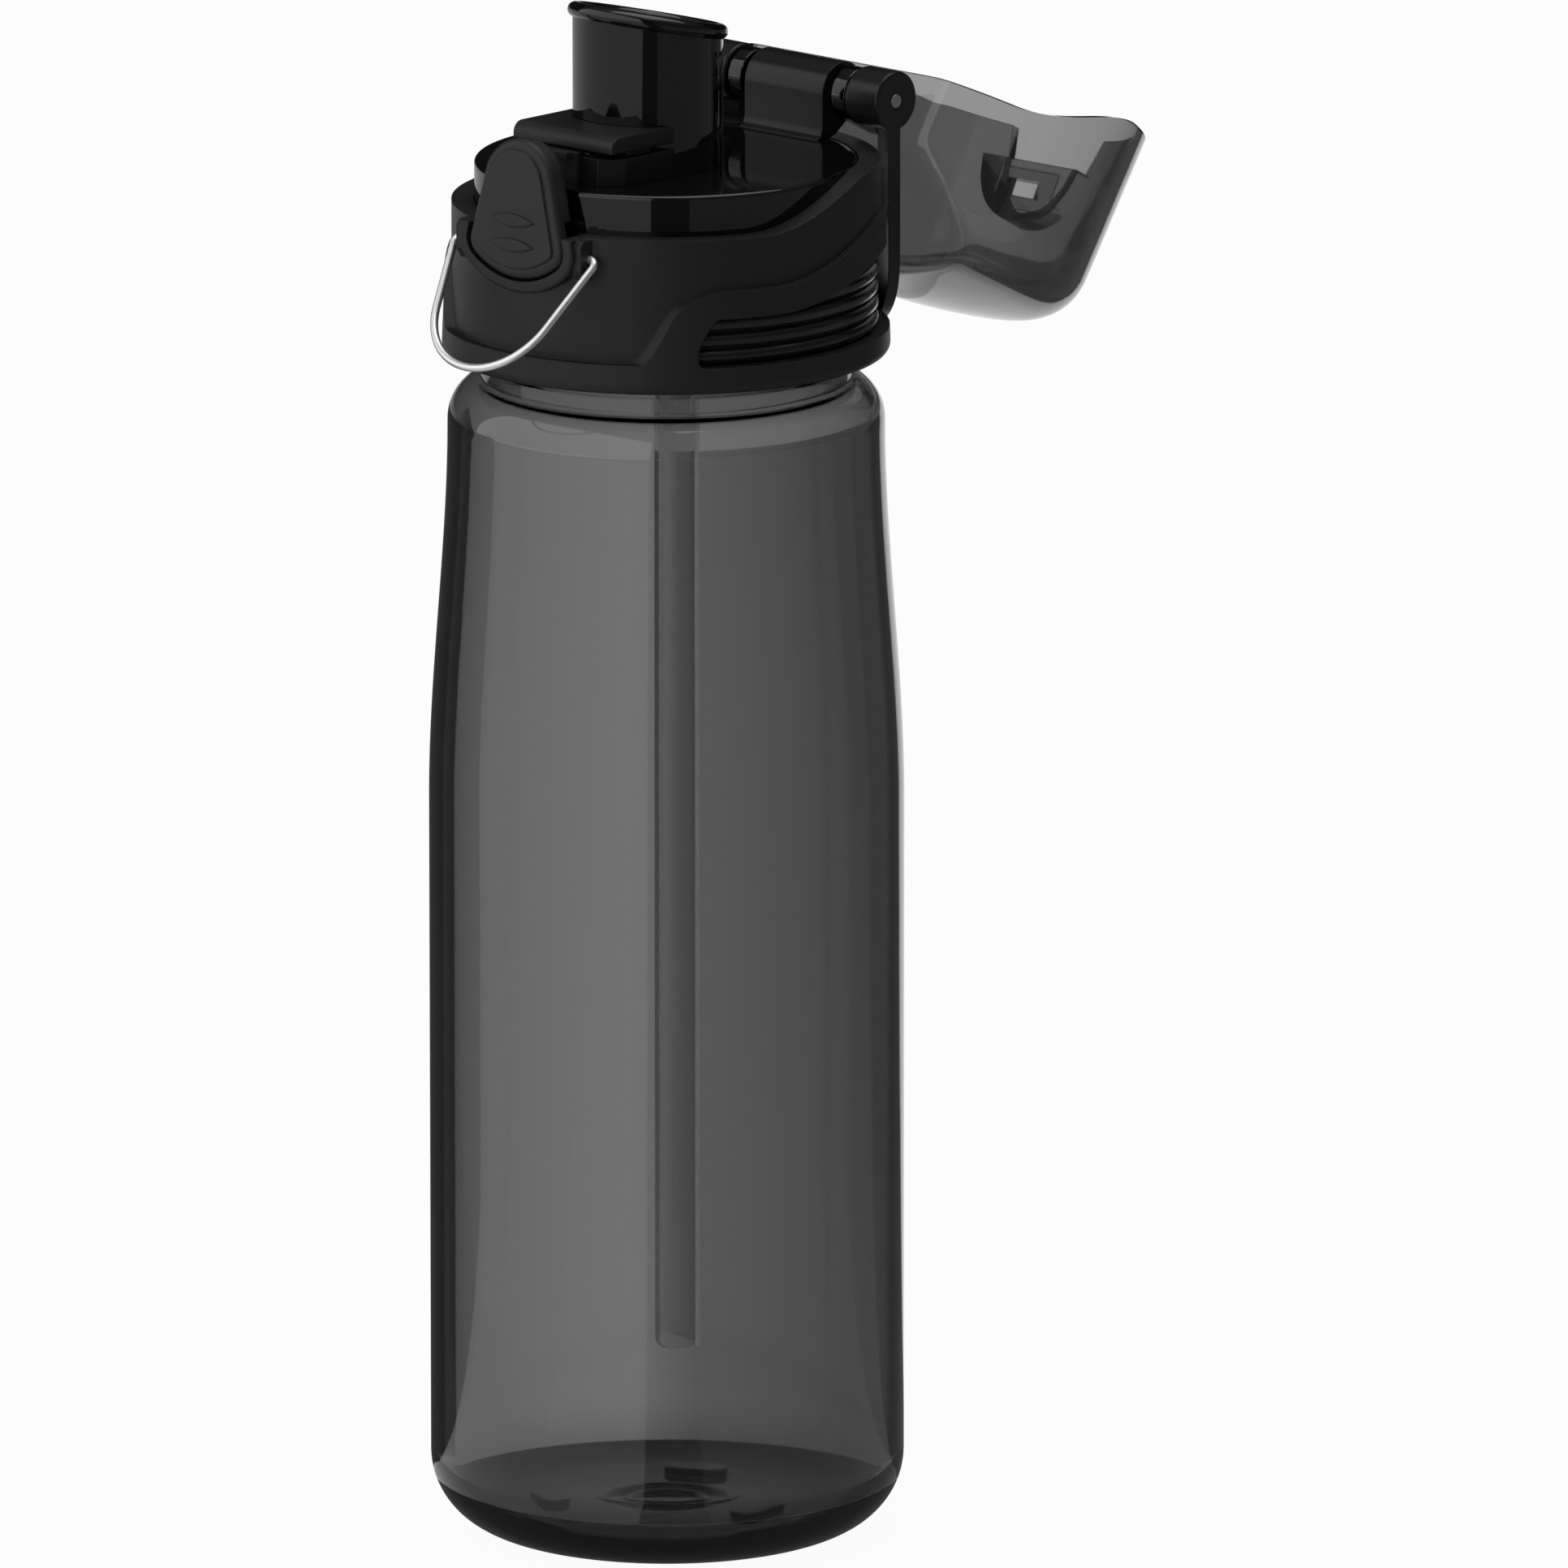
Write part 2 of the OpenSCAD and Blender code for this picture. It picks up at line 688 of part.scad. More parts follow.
module outer_collar() {
    foot_c = [band_r - collar_foot_round, -collar_h + collar_foot_round];
    color([0.06, 0.06, 0.065])
        translate([0, 0, deck_z])
            difference() {
                union() {
                    intersection() {
                        rotate_extrude()
                            translate([collar_bore_r, -collar_h])
                                square([collar_wall, collar_h]);
                        under_ledge(0);
                    }
                    intersection() {
                        rotate_extrude()
                            polygon(concat(
                                [[collar_bore_r, -collar_h]],
                                arc(foot_c, collar_foot_round, -90, 0),
                                [[band_top_r, band_back_z], [collar_bore_r, band_back_z]]
                            ));
                        under_band();
                    }
                    // Bezel round the button and the lugs for the bail
                    intersection() {
                        union() {
                            along(bezel_front_y, bezel_back_y)
                                arch(run_gap + bezel_w);
                            both_sides()
                                translate([lug_in_x, bail_y - lug_front, bail_z - lug_down])
                                    cube([lug_out_x - lug_in_x, lug_front - bail_y + bezel_back_y,
                                        lug_down + lug_up]);
                        }
                        under_ledge(-fit_gap);
                    }
                }
                window(0);
                along(-far, -deck_r + over)
                    arch(run_gap);
                rod(bail_hole_r, lug_out_x + over, bail_y, bail_z);
            }
}

module drink_spout() {
    color([0.03, 0.03, 0.035])
        translate([0, -spout_offset, deck_z])
            difference() {
                union() {
                    difference() {
                        cylinder(r = spout_r, h = spout_h + spout_r);
                        translate([0, 0, spout_h])
                            rotate([-mouth_tilt, 0, 0])
                                translate([0, 0, spout_d])
                                    cube(2 * spout_d, center = true);
                    }
                    // Rolled lip round the slanted mouth
                    translate([0, 0, spout_h])
                        rotate([-mouth_tilt, 0, 0])
                            rotate_extrude()
                                translate([lip_r, 0])
                                    circle(lip_t / 2);
                    translate([0, 0, -spigot_l])
                        cylinder(r = spigot_r, h = spigot_l + over);
                }
                translate([0, 0, -spigot_l - over])
                    cylinder(r = spout_bore_r, h = spigot_l + spout_h + spout_d);
            }
}

module straw_socket() {
    sleeve_r = straw_r + fit_gap + sleeve_wall;
    floor_z = -spigot_l - fit_gap;
    color([0.75, 0.75, 0.77])
        translate([0, 0, deck_z])
            difference() {
                union() {
                    translate([0, -spout_offset, floor_z - socket_floor_t])
                        cylinder(r = socket_r, h = socket_floor_t - floor_z - deck_t - fit_gap);
                    translate([0, straw_offset, floor_z - socket_floor_t - sleeve_l])
                        cylinder(r = sleeve_r, h = sleeve_l + over);
                }
                translate([0, -spout_offset, floor_z])
                    cylinder(r = spigot_r + fit_gap, h = spigot_l);
                translate([0, straw_offset, floor_z - socket_floor_t - sleeve_l - over])
                    cylinder(r = straw_r + fit_gap, h = sleeve_l + over);
                translate([0, straw_offset, floor_z - socket_floor_t - over])
                    cylinder(r = straw_r - straw_wall, h = socket_floor_t + 2 * over);
            }
}

module straw() {
    top_z = deck_z - spigot_l - fit_gap - socket_floor_t - fit_gap;
    color([0.35, 0.35, 0.36])
        difference() {
            translate([0, straw_offset, straw_foot_z])
                difference() {
                    cylinder(r = straw_r, h = top_z - straw_foot_z);
                    translate([0, 0, -over])
                        cylinder(r = straw_r - straw_wall, h = top_z - straw_foot_z + 2 * over);
                }
            // Slanted lower end
            translate([0, straw_offset, straw_foot_z])
                rotate([0, straw_cut, 0])
                    translate([0, 0, -straw_d])
                        cube([4 * straw_d, 4 * straw_d, 2 * straw_d], center = true);
        }
}

module vent_valve() {
    color([0.8, 0.8, 0.82])
        translate([vent_x, vent_y, deck_z]) {
            translate([0, 0, -deck_t - fit_gap - vent_cap_t])
                cylinder(r = vent_cap_r, h = vent_cap_t);
            translate([0, 0, -deck_t - fit_gap - vent_cap_t / 2])
                cylinder(r = vent_stem_r, h = deck_t + vent_cap_t / 2);
        }
}

module latch_hood() {
    side_round = 1.2;
    color([0.07, 0.07, 0.075])
        translate([0, 0, deck_z])
            difference() {
                union() {
                    intersection() {
                        translate([-hood_half_w, hood_front_y, hood_z])
                            cube([2 * hood_half_w, hood_back_y - hood_front_y, hood_t]);
                        // Round front edge
                        across(far)
                            union() {
                                translate([hood_front_y + hood_round, hood_z + hood_t - hood_round])
                                    circle(hood_round);
                                translate([hood_front_y + hood_round, hood_z - over])
                                    square([far, hood_t + over]);
                                translate([hood_front_y, hood_z - over])
                                    square([hood_round, hood_t + over - hood_round]);
                            }
                        // Round long edges
                        along(-far, far)
                            union() {
                                translate([-hood_half_w, hood_z])
                                    square([2 * hood_half_w, hood_t - side_round]);
                                translate([-hood_half_w + side_round, hood_z])
                                    square([2 * (hood_half_w - side_round), hood_t]);
                                for (s = [-1, 1])
                                    translate([s * (hood_half_w - side_round), hood_z + hood_t - side_round])
                                        circle(side_round);
                            }
                    }
                    // Feet on the block, either side of the latch's slot
                    both_sides()
                        translate([latch_slot_half_w + over, latch_slot_end_y - over, block_h])
                            cube([hood_half_w - latch_slot_half_w - 2 * over, hood_back_y - latch_slot_end_y,
                                slot_h + over]);
                }
                translate([0, -spout_offset, -over])
                    cylinder(r = spout_r + fit_gap, h = spout_h);
            }
}

module latch_button() {
    lens_r = (grip_w * grip_w / 4 + grip_h * grip_h / 4) / grip_h;
    post_h = nose_z + nose_h - stem_z;
    color([0.07, 0.07, 0.075])
        translate([0, 0, deck_z]) {
            translate([0, button_face_y, 0])
                rotate([-button_lean, 0, 0]) {
                    along(0, button_t)
                        arch(0);
                    // Deeper head above the collar
                    intersection() {
                        along(0, button_head_t)
                            arch(0);
                        translate([-far, -far, button_head_z])
                            cube(2 * far);
                    }
                    // Raised panel with two lens-shaped grips
                    along(-panel_rise, button_t / 2)
                        arch(-panel_inset);
                    for (z = grip_zs)
                        along(-panel_rise - grip_rise, 0)
                            translate([0, z])
                                intersection_for(s = [-1, 1])
                                    translate([0, s * (lens_r - grip_h / 2)])
                                        circle(lens_r);
                }
            // Stem to the hook behind the lid's catch
            translate([-stem_half_w, button_back_y, stem_z])
                cube([2 * stem_half_w, post_front_y + post_t - button_back_y, stem_h]);
            translate([-stem_half_w, post_front_y, stem_z])
                cube([2 * stem_half_w, post_t, post_h]);
            translate([-catch_window_w / 2 + run_gap, catch_back_y - nose_bite, nose_z])
                cube([catch_window_w - 2 * run_gap, nose_bite + run_gap + over, nose_h]);
        }
}

// Centre line of the button's spring, from the hook back to the end of its slot
spring_steps = 8;
spring_l = spring_end_y - spring_start_y - spring_wire;
spring_gap = spring_l / spring_turns - spring_wire;
echo(spring_gap_mm = spring_gap);

module button_spring() {
    sides = 6;
    count = spring_turns * spring_steps;
    y0 = spring_start_y + spring_wire / 2;
    rings = [
        for (i = [0 : count])
            let (
                a = 360 * i / spring_steps,
                c = [spring_r * cos(a), y0 + spring_l * i / count, spring_z + spring_r * sin(a)],
                out = [cos(a), 0, sin(a)]
            )
            [for (k = [0 : sides - 1])
                c + spring_wire / 2 * (out * cos(360 * k / sides) - [0, 1, 0] * sin(360 * k / sides))]
    ];
    color("silver")
        translate([0, 0, deck_z])
            skin(rings, sides);
}

module wire_bail() {
    r = bail_wire / 2;
    // Direction in which the bail hangs, and places in its own plane
    down = [0, -sin(bail_angle), -cos(bail_angle)];
    end_c = bail_reach - bail_end_r;
    // The straight leg touches the round end here
    run = norm([bail_half_w, end_c]);
    touch = atan2(end_c, bail_half_w) - acos(bail_end_r / run);
    half = concat(
        [[bail_end_x, 0]],
        arc([bail_half_w - bail_bend_r, bail_bend_r], bail_bend_r, -90, 0),
        [for (i = [0 : 2 * arc_steps])
            let (a = -touch + (90 + touch) * i / (2 * arc_steps))
            [bail_end_r * cos(a), end_c + bail_end_r * sin(a)]]
    );
    flat = concat(half, [for (i = [len(half) - 2 : -1 : 0]) [-half[i][0], half[i][1]]]);
    path = [for (p = flat) [p[0], bail_y, bail_z] + p[1] * down];
    color("gainsboro")
        translate([0, 0, deck_z])
            tube(path, r, wire_sides);
}

// The lid's outer or inner skin: tapered side, rounded corner and domed top
module lid_skin(inset) {
    dome_c = lid_crown - dome_r;
    side_a = lid_r - lid_round / cos(lid_draft);
    big = dome_r - lid_round;
    // Centre of the rounding, the same distance inside the side and the dome
    qa = 1 + lid_taper * lid_taper;
    qb = -2 * side_a * lid_taper - 2 * dome_c;
    qc = side_a * side_a + dome_c * dome_c - big * big;
    cz = (-qb + sqrt(qb * qb - 4 * qa * qc)) / (2 * qa);
    cr = side_a - lid_taper * cz;
    dome_end = atan2(cz - dome_c, cr);
    foot_z = -ledge_drop - over;
    rotate_extrude()
        polygon(concat(
            [[0, foot_z], [lid_r - inset / cos(lid_draft) - lid_taper * foot_z, foot_z]],
            arc([cr, cz], lid_round - inset, lid_draft, dome_end),
            arc([0, dome_c], dome_r - inset, dome_end + (90 - dome_end) / arc_steps, 90)
        ));
}

// Everything ahead of the lid's back: a flat wall with a slanted part above it
module before_back(inset) {
    lean = tan(lid_back_lean);
    y = lid_back_y - inset;
    z = lid_back_h - inset * (1 - sin(lid_back_lean)) / cos(lid_back_lean);
    across(far)
        polygon([[-far, -far], [y, -far], [y, z], [y - (far - z) * lean, far], [-far, far]]);
}

// Passage in the lid's front that goes round the button, down to the cap's deck
module tunnel(grow, front_y, back_y) {
    intersection() {
        along(front_y, back_y)
            arch(grow);
        translate([-far, -far, run_gap])
            cube(2 * far);
    }
}

module lid_shut() {
    difference() {
        union() {
            lid_shell();
            // Frame round the catch's window, inside the passage
            intersection() {
                along(catch_back_y - catch_t - catch_frame_t, catch_back_y - catch_t / 2)
                    translate([-catch_frame_w / 2, catch_window_z - (catch_frame_h - catch_window_h) / 2])
                        square([catch_frame_w, catch_frame_h]);
                tunnel(tunnel_gap + lid_wall / 2, -far, 0);
            }
        }
        along(-far, 0)
            translate([-catch_window_w / 2, catch_window_z])
                square([catch_window_w, catch_window_h]);
    }
}

// The lid without its catch: domed shell, walls of the passage, arms and knuckles
module lid_shell() {
    difference() {
        union() {
            difference() {
                intersection() {
                    lid_skin(0);
                    before_back(0);
                }
                intersection() {
                    lid_skin(lid_wall);
                    before_back(lid_wall);
                }
            }
            intersection() {
                tunnel(tunnel_gap + lid_wall, -far, catch_back_y);
                lid_skin(lid_wall / 2);
            }
            both_sides()
                translate([lid_knuckle_x + lid_knuckle_w / 2, 0, 0])
                    across(lid_knuckle_w / 2) {
                        translate([hinge_y, hinge_h])
                            circle(lid_knuckle_r);
                        polygon([
                            [lid_back_y - lid_wall / 2, hinge_h - lid_knuckle_r + arm_draft],
                            [hinge_y, hinge_h - lid_knuckle_r], [hinge_y, hinge_h + lid_knuckle_r],
                            [lid_back_y - lid_wall / 2, lid_back_h - arm_draft]
                        ]);
                    }
        }
        under_ledge(rim_gap);
        along(-far, catch_back_y - catch_t)
            arch(tunnel_gap);
        rod(pin_r + pin_gap, far, hinge_y, hinge_h);
    }
}

// Turns what is drawn shut to its open place
module opened() {
    translate([0, hinge_y, deck_z + hinge_h])
        rotate([-lid_open, 0, 0])
            translate([0, -hinge_y, -hinge_h])
                children();
}

module flip_lid() {
    color([0.3, 0.3, 0.31, 0.5])
        opened()
            lid_shut();
}

module lid_seal() {
    dome_c = lid_crown - dome_r;
    in_r = dome_r - lid_wall;
    pad_z = dome_c + sqrt(in_r * in_r - pow(spout_offset + pad_r, 2)) - fit_gap / 2;
    color([0.75, 0.75, 0.77])
        opened()
            translate([0, -spout_offset, pad_z - pad_t]) {
                cylinder(r = pad_r, h = pad_t);
                translate([0, 0, -pad_nub_t])
                    cylinder(r = pad_nub_r, h = pad_nub_t + pad_t / 2);
            }
}

module hinge_pin() {
    color("silver")
        translate([0, 0, deck_z])
            rod(pin_r, loop_out_x + fit_gap, hinge_y, hinge_h);
}

// The loop's outline in (X, Z): a strap with round lower corners, open in the middle
module loop_outline() {
    in_corner_r = loop_corner_r - loop_leg_w;
    foot_z = hinge_h - loop_l;
    difference() {
        union() {
            translate([-loop_out_x, foot_z + loop_corner_r])
                square([2 * loop_out_x, loop_l - loop_corner_r]);
            translate([-loop_out_x + loop_corner_r, foot_z])
                square([2 * (loop_out_x - loop_corner_r), loop_corner_r + over]);
            for (s = [-1, 1])
                translate([s * (loop_out_x - loop_corner_r), foot_z + loop_corner_r])
                    circle(loop_corner_r);
        }
        translate([-loop_in_x, foot_z + loop_bar_h + in_corner_r])
            square([2 * loop_in_x, loop_l]);
        translate([-loop_in_x + in_corner_r, foot_z + loop_bar_h])
            square([2 * (loop_in_x - in_corner_r), in_corner_r + over]);
        for (s = [-1, 1])
            translate([s * (loop_in_x - in_corner_r), foot_z + loop_bar_h + in_corner_r])
                circle(in_corner_r);
    }
}

module carry_loop() {
    color([0.05, 0.05, 0.055])
        translate([0, 0, deck_z])
            difference() {
                union() {
                    intersection() {
                        translate([0, 0, hinge_h - loop_l])
                            difference() {
                                cylinder(r = loop_out_r, h = loop_l);
                                translate([0, 0, -over])
                                    cylinder(r = loop_in_r, h = loop_l + 2 * over);
                            }
                        along(0, far)
                            loop_outline();
                    }
                    both_sides()
                        translate([loop_knuckle_x, hinge_y, hinge_h])
                            rotate([0, 90, 0])
                                cylinder(r = knuckle_r, h = loop_knuckle_w);
                }
                rod(pin_r + pin_gap, far, hinge_y, hinge_h);
            }
}

bottle_body();
neck_gasket();
inner_cap();
outer_collar();
drink_spout();
straw_socket();
straw();
vent_valve();
latch_hood();
latch_button();
button_spring();
wire_bail();
flip_lid();
lid_seal();
hinge_pin();
carry_loop();
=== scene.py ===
# %% [markdown]
# # A flip-lid drinking bottle, modelled piece by piece
# The bottle is smoke-clear plastic with a black screw cap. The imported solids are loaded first:
# they say where every piece sits, what it moves with and how large the whole thing is. The pieces
# that show are then modelled again with finer curves and soft edges, and the rest get a finish.

import math

import bpy
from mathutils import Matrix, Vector


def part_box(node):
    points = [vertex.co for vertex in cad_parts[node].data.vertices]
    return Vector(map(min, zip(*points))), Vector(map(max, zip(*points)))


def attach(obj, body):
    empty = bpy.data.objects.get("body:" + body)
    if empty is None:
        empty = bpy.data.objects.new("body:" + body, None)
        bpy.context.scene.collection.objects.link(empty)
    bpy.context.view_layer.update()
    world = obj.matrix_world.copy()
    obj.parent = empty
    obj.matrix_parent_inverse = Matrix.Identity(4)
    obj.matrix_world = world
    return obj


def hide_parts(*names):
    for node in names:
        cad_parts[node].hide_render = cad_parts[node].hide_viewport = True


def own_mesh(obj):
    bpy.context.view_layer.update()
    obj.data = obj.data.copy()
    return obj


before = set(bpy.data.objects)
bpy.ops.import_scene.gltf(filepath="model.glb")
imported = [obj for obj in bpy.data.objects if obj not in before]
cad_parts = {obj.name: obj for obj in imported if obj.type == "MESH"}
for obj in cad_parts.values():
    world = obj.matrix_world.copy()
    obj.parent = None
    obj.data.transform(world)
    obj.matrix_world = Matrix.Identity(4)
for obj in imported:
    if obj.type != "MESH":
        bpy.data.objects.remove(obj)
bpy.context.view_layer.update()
print("solids loaded:", len(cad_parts))

# %% [markdown]
# ## Drawing by extruding one point
# Most parts of a bottle are turned or cut from a flat outline. By hand, one would put down a single
# vertex, extrude it from point to point, and then spin the line, or fill it and extrude the face.
# The helpers below do just that with the same operators. All sizes are written in millimetres,
# because that is how a bottle is drawn, and become metres when the points are set.

# %% A chain of edges
MM = 0.001
WELD = 1e-7
MERGE = WELD * 10


def to_object_mode():
    if bpy.context.object and bpy.context.object.mode != "OBJECT":
        bpy.ops.object.mode_set(mode="OBJECT")
    bpy.ops.object.select_all(action="DESELECT")


def pick(piece):
    """Selects one piece alone and makes it the active one."""
    to_object_mode()
    piece.select_set(True)
    bpy.context.view_layer.objects.active = piece


def drawn_line(name, points):
    """A chain of edges through the points, left open in edit mode."""
    places = [Vector(p) * MM for p in points]
    to_object_mode()
    bpy.ops.mesh.primitive_plane_add(size=MM)
    line = bpy.context.object
    line.name = line.data.name = name
    bpy.ops.object.mode_set(mode="EDIT")
    bpy.ops.mesh.select_all(action="SELECT")
    bpy.ops.mesh.merge(type="CENTER")
    bpy.ops.transform.translate(value=places[0])
    for a, b in zip(places, places[1:]):
        bpy.ops.mesh.extrude_region_move(TRANSFORM_OT_translate={"value": b - a})
    return line


def close_up():
    """Merges what meets, points the faces outwards and leaves edit mode."""
    bpy.ops.mesh.select_all(action="SELECT")
    bpy.ops.mesh.remove_doubles(threshold=MERGE)
    bpy.ops.mesh.normals_make_consistent(inside=False)
    bpy.ops.object.mode_set(mode="OBJECT")


print("one drawing unit is", MM, "m")


# %% Turning and pushing an outline
def turned(name, outline, centre=(0, 0), steps=160):
    """A solid of revolution from points (radius, height) about an upright axis."""
    ends_on_axis = outline[0][0] == 0 and outline[-1][0] == 0
    ring = list(outline) if ends_on_axis else [*outline, outline[0]]
    x, y = centre
    piece = drawn_line(name, [(x + r, y, z) for r, z in ring])
    bpy.ops.mesh.select_all(action="SELECT")
    bpy.ops.mesh.spin(
        steps=steps, angle=math.tau, center=(x * MM, y * MM, 0), axis=(0, 0, 1)
    )
    close_up()
    return piece


def extruded(name, corners, way):
    """A prism: the corners are filled with one face, which is pushed along the way."""
    piece = drawn_line(name, corners)
    bpy.ops.mesh.select_all(action="SELECT")
    bpy.ops.mesh.edge_face_add()
    bpy.ops.mesh.extrude_region_move(TRANSFORM_OT_translate={"value": Vector(way) * MM})
    close_up()
    return piece


def across(name, outline, x0, x1):
    """A prism along X from points (y, z)."""
    return extruded(name, [(x0, y, z) for y, z in outline], (x1 - x0, 0, 0))


def along(name, outline, y0, y1):
    """A prism along Y from points (x, z)."""
    return extruded(name, [(x, y0, z) for x, z in outline], (0, y1 - y0, 0))


def upward(name, outline, z0, z1):
    """A prism along Z from points (x, y)."""
    return extruded(name, [(x, y, z0) for x, y in outline], (0, 0, z1 - z0))


print("outlines are turned about Z, or pushed along X, Y or Z")


# %% Adding, cutting and keeping
def combine(piece, other, how):
    """Adds, cuts or keeps what is shared with the other shape, which is used up."""
    step = piece.modifiers.new(how, "BOOLEAN")
    step.operation = how
    step.object = other
    step.solver = "EXACT"
    pick(piece)
    bpy.ops.object.modifier_apply(modifier=step.name)
    bpy.data.objects.remove(other)
    return piece


def add(piece, other):
    return combine(piece, other, "UNION")


def cut(piece, other):
    return combine(piece, other, "DIFFERENCE")


def keep(piece, other):
    return combine(piece, other, "INTERSECT")


print("shapes are joined and cut with exact booleans")


# %% Soft edges and turns
def soften(piece, width, segments=3, angle=30):
    """Rounds every edge sharper than the angle with a bevel that is applied."""
    bevel = piece.modifiers.new("soft edges", "BEVEL")
    bevel.width = width * MM
    bevel.segments = segments
    bevel.limit_method = "ANGLE"
    bevel.angle_limit = math.radians(angle)
    bevel.harden_normals = False
    pick(piece)
    bpy.ops.object.modifier_apply(modifier=bevel.name)
    return piece


def turn_about_x(piece, angle, y, z):
    """Turns the mesh itself about a line along X, so that its top goes to the back."""
    pick(piece)
    bpy.ops.object.mode_set(mode="EDIT")
    bpy.ops.mesh.select_all(action="SELECT")
    bpy.ops.transform.rotate(
        value=angle, orient_axis="X", orient_type="GLOBAL", center_override=(0, y * MM, z * MM)
    )
    bpy.ops.object.mode_set(mode="OBJECT")


print("edges are rounded by a bevel")


# %% Arcs and easing
def arc(centre, radius, start, end, steps=12):
    angles = [math.radians(start + (end - start) * i / steps) for i in range(steps + 1)]
    return [(centre[0] + radius * math.cos(a), centre[1] + radius * math.sin(a)) for a in angles]


def round_points(centre, radius, steps):
    """A full ring of points, each one once."""
    return arc(centre, radius, 0, 360 - 360 / steps, steps - 1)


def ease(t):
    """Goes from nought to one, slowly at both ends."""
    t = min(1, max(0, t))
    return t * t * (3 - 2 * t)


def spread(start, end, steps):
    return [start + (end - start) * i / steps for i in range(steps + 1)]


print("points in a quarter arc:", len(arc((0, 0), 1, 0, 90)))

# %% [markdown]
# ## Finishes
# Black plastics, clear plastics and drawn steel make up the whole bottle. Grain is shared: a node
# group turns noise into a fine height and into broad patches, and each finish uses it with its own
# scale. Real moulded edges are never knife sharp, so the black plastics round their shading at
# edges with a Bevel node. The smoke plastic gets its grey from absorption inside the wall, so thick
# places and edges go dark, and dark glowing cards set up further down add painted shade at the
# edges. The straw shows as an even band, so its skin is tinted.

# %% Grain group
grain = bpy.data.node_groups.new("moulded grain", "ShaderNodeTree")
grain.interface.new_socket("Scale", in_out="INPUT", socket_type="NodeSocketFloat")
grain.interface.new_socket("Height", in_out="OUTPUT", socket_type="NodeSocketFloat")
grain.interface.new_socket("Patches", in_out="OUTPUT", socket_type="NodeSocketFloat")
g_in = grain.nodes.new("NodeGroupInput")
g_out = grain.nodes.new("NodeGroupOutput")
g_coord = grain.nodes.new("ShaderNodeTexCoord")
g_fine = grain.nodes.new("ShaderNodeTexNoise")
g_fine.inputs["Detail"].default_value = 2
g_broad = grain.nodes.new("ShaderNodeTexNoise")
g_broad.inputs["Scale"].default_value = 60
g_broad.inputs["Detail"].default_value = 3
grain.links.new(g_coord.outputs["Object"], g_fine.inputs["Vector"])
grain.links.new(g_coord.outputs["Object"], g_broad.inputs["Vector"])
grain.links.new(g_in.outputs["Scale"], g_fine.inputs["Scale"])
grain.links.new(g_fine.outputs["Fac"], g_out.inputs["Height"])
grain.links.new(g_broad.outputs["Fac"], g_out.inputs["Patches"])
print("shared group:", grain.name)


# %% A material with the grain in it
def grained_material(name, scale, depth):
    """A material whose skin is bumped by the grain, and the nodes that a finish adds to."""
    finish = bpy.data.materials.new(name)
    finish.use_nodes = True
    nodes, links = finish.node_tree.nodes, finish.node_tree.links
    skin = nodes["Principled BSDF"]
    texture = nodes.new("ShaderNodeGroup")
    texture.node_tree = grain
    texture.inputs["Scale"].default_value = scale
    bump = nodes.new("ShaderNodeBump")
    bump.inputs["Strength"].default_value = 1
    bump.inputs["Distance"].default_value = depth * MM
    links.new(texture.outputs["Height"], bump.inputs["Height"])
    links.new(bump.outputs["Normal"], skin.inputs["Normal"])
    return finish, skin, texture, bump


def patchy(finish, skin, texture, low, high, start=0.0, end=1.0):
    """Lets the roughness change from patch to patch, between a low and a high value."""
    nodes, links = finish.node_tree.nodes, finish.node_tree.links
    patches = nodes.new("ShaderNodeMapRange")
    patches.inputs["From Min"].default_value = start
    patches.inputs["From Max"].default_value = end
    patches.inputs["To Min"].default_value = low
    patches.inputs["To Max"].default_value = high
    links.new(texture.outputs["Patches"], patches.inputs["Value"])
    links.new(patches.outputs["Result"], skin.inputs["Roughness"])


print("a finish starts from", grain.name, "and its patches")

# %% Black plastics
NOISE_LOW, NOISE_HIGH, PLASTIC_IOR = 0.3, 0.7, 1.5


def black_plastic(name, colour, rough, scale, depth, edge, specular=0.3):
    """Opaque plastic: rough gives the lowest and highest roughness between patches."""
    finish, skin, texture, bump = grained_material(name, scale, depth)
    nodes, links = finish.node_tree.nodes, finish.node_tree.links
    skin.inputs["Base Color"].default_value = (*colour, 1)
    skin.inputs["IOR"].default_value = PLASTIC_IOR
    skin.inputs["Specular IOR Level"].default_value = specular
    patchy(finish, skin, texture, *rough, NOISE_LOW, NOISE_HIGH)
    round_edge = nodes.new("ShaderNodeBevel")
    round_edge.samples = 4
    round_edge.inputs["Radius"].default_value = edge * MM
    links.new(round_edge.outputs["Normal"], bump.inputs["Normal"])
    return finish


matte_black = black_plastic(
    "satin black", (0.012, 0.012, 0.0125), rough=(0.42, 0.52), scale=4500, depth=0.012, edge=0.3
)
# The button's black is the satin black made lighter: painted light on the button's face.
lit_satin_black = black_plastic(
    "lit satin black", (0.018, 0.018, 0.0185), rough=(0.42, 0.52), scale=4500, depth=0.012, edge=0.3
)
moulded_black = black_plastic(
    "moulded black", (0.008, 0.008, 0.0085), rough=(0.26, 0.34), scale=3500, depth=0.005, edge=0.3
)
rib_black = black_plastic(
    "half-gloss black",
    (0.008, 0.008, 0.0085),
    rough=(0.14, 0.2),
    scale=3500,
    depth=0.002,
    edge=0.25,
    specular=0.5,
)
gloss_black = black_plastic(
    "polished black",
    (0.004, 0.004, 0.0045),
    rough=(0.03, 0.07),
    scale=900,
    depth=0.0006,
    edge=0.25,
    specular=0.5,
)
blacks = (matte_black, lit_satin_black, moulded_black, rib_black, gloss_black)
print("black finishes:", *(m.name for m in blacks))

# %% Clear plastics
WAVE_SCALE, POLISH_SPREAD = 45, 0.1
SMOKE, MILK = (0.2, 0.2, 0.205), (0.7, 0.7, 0.71)


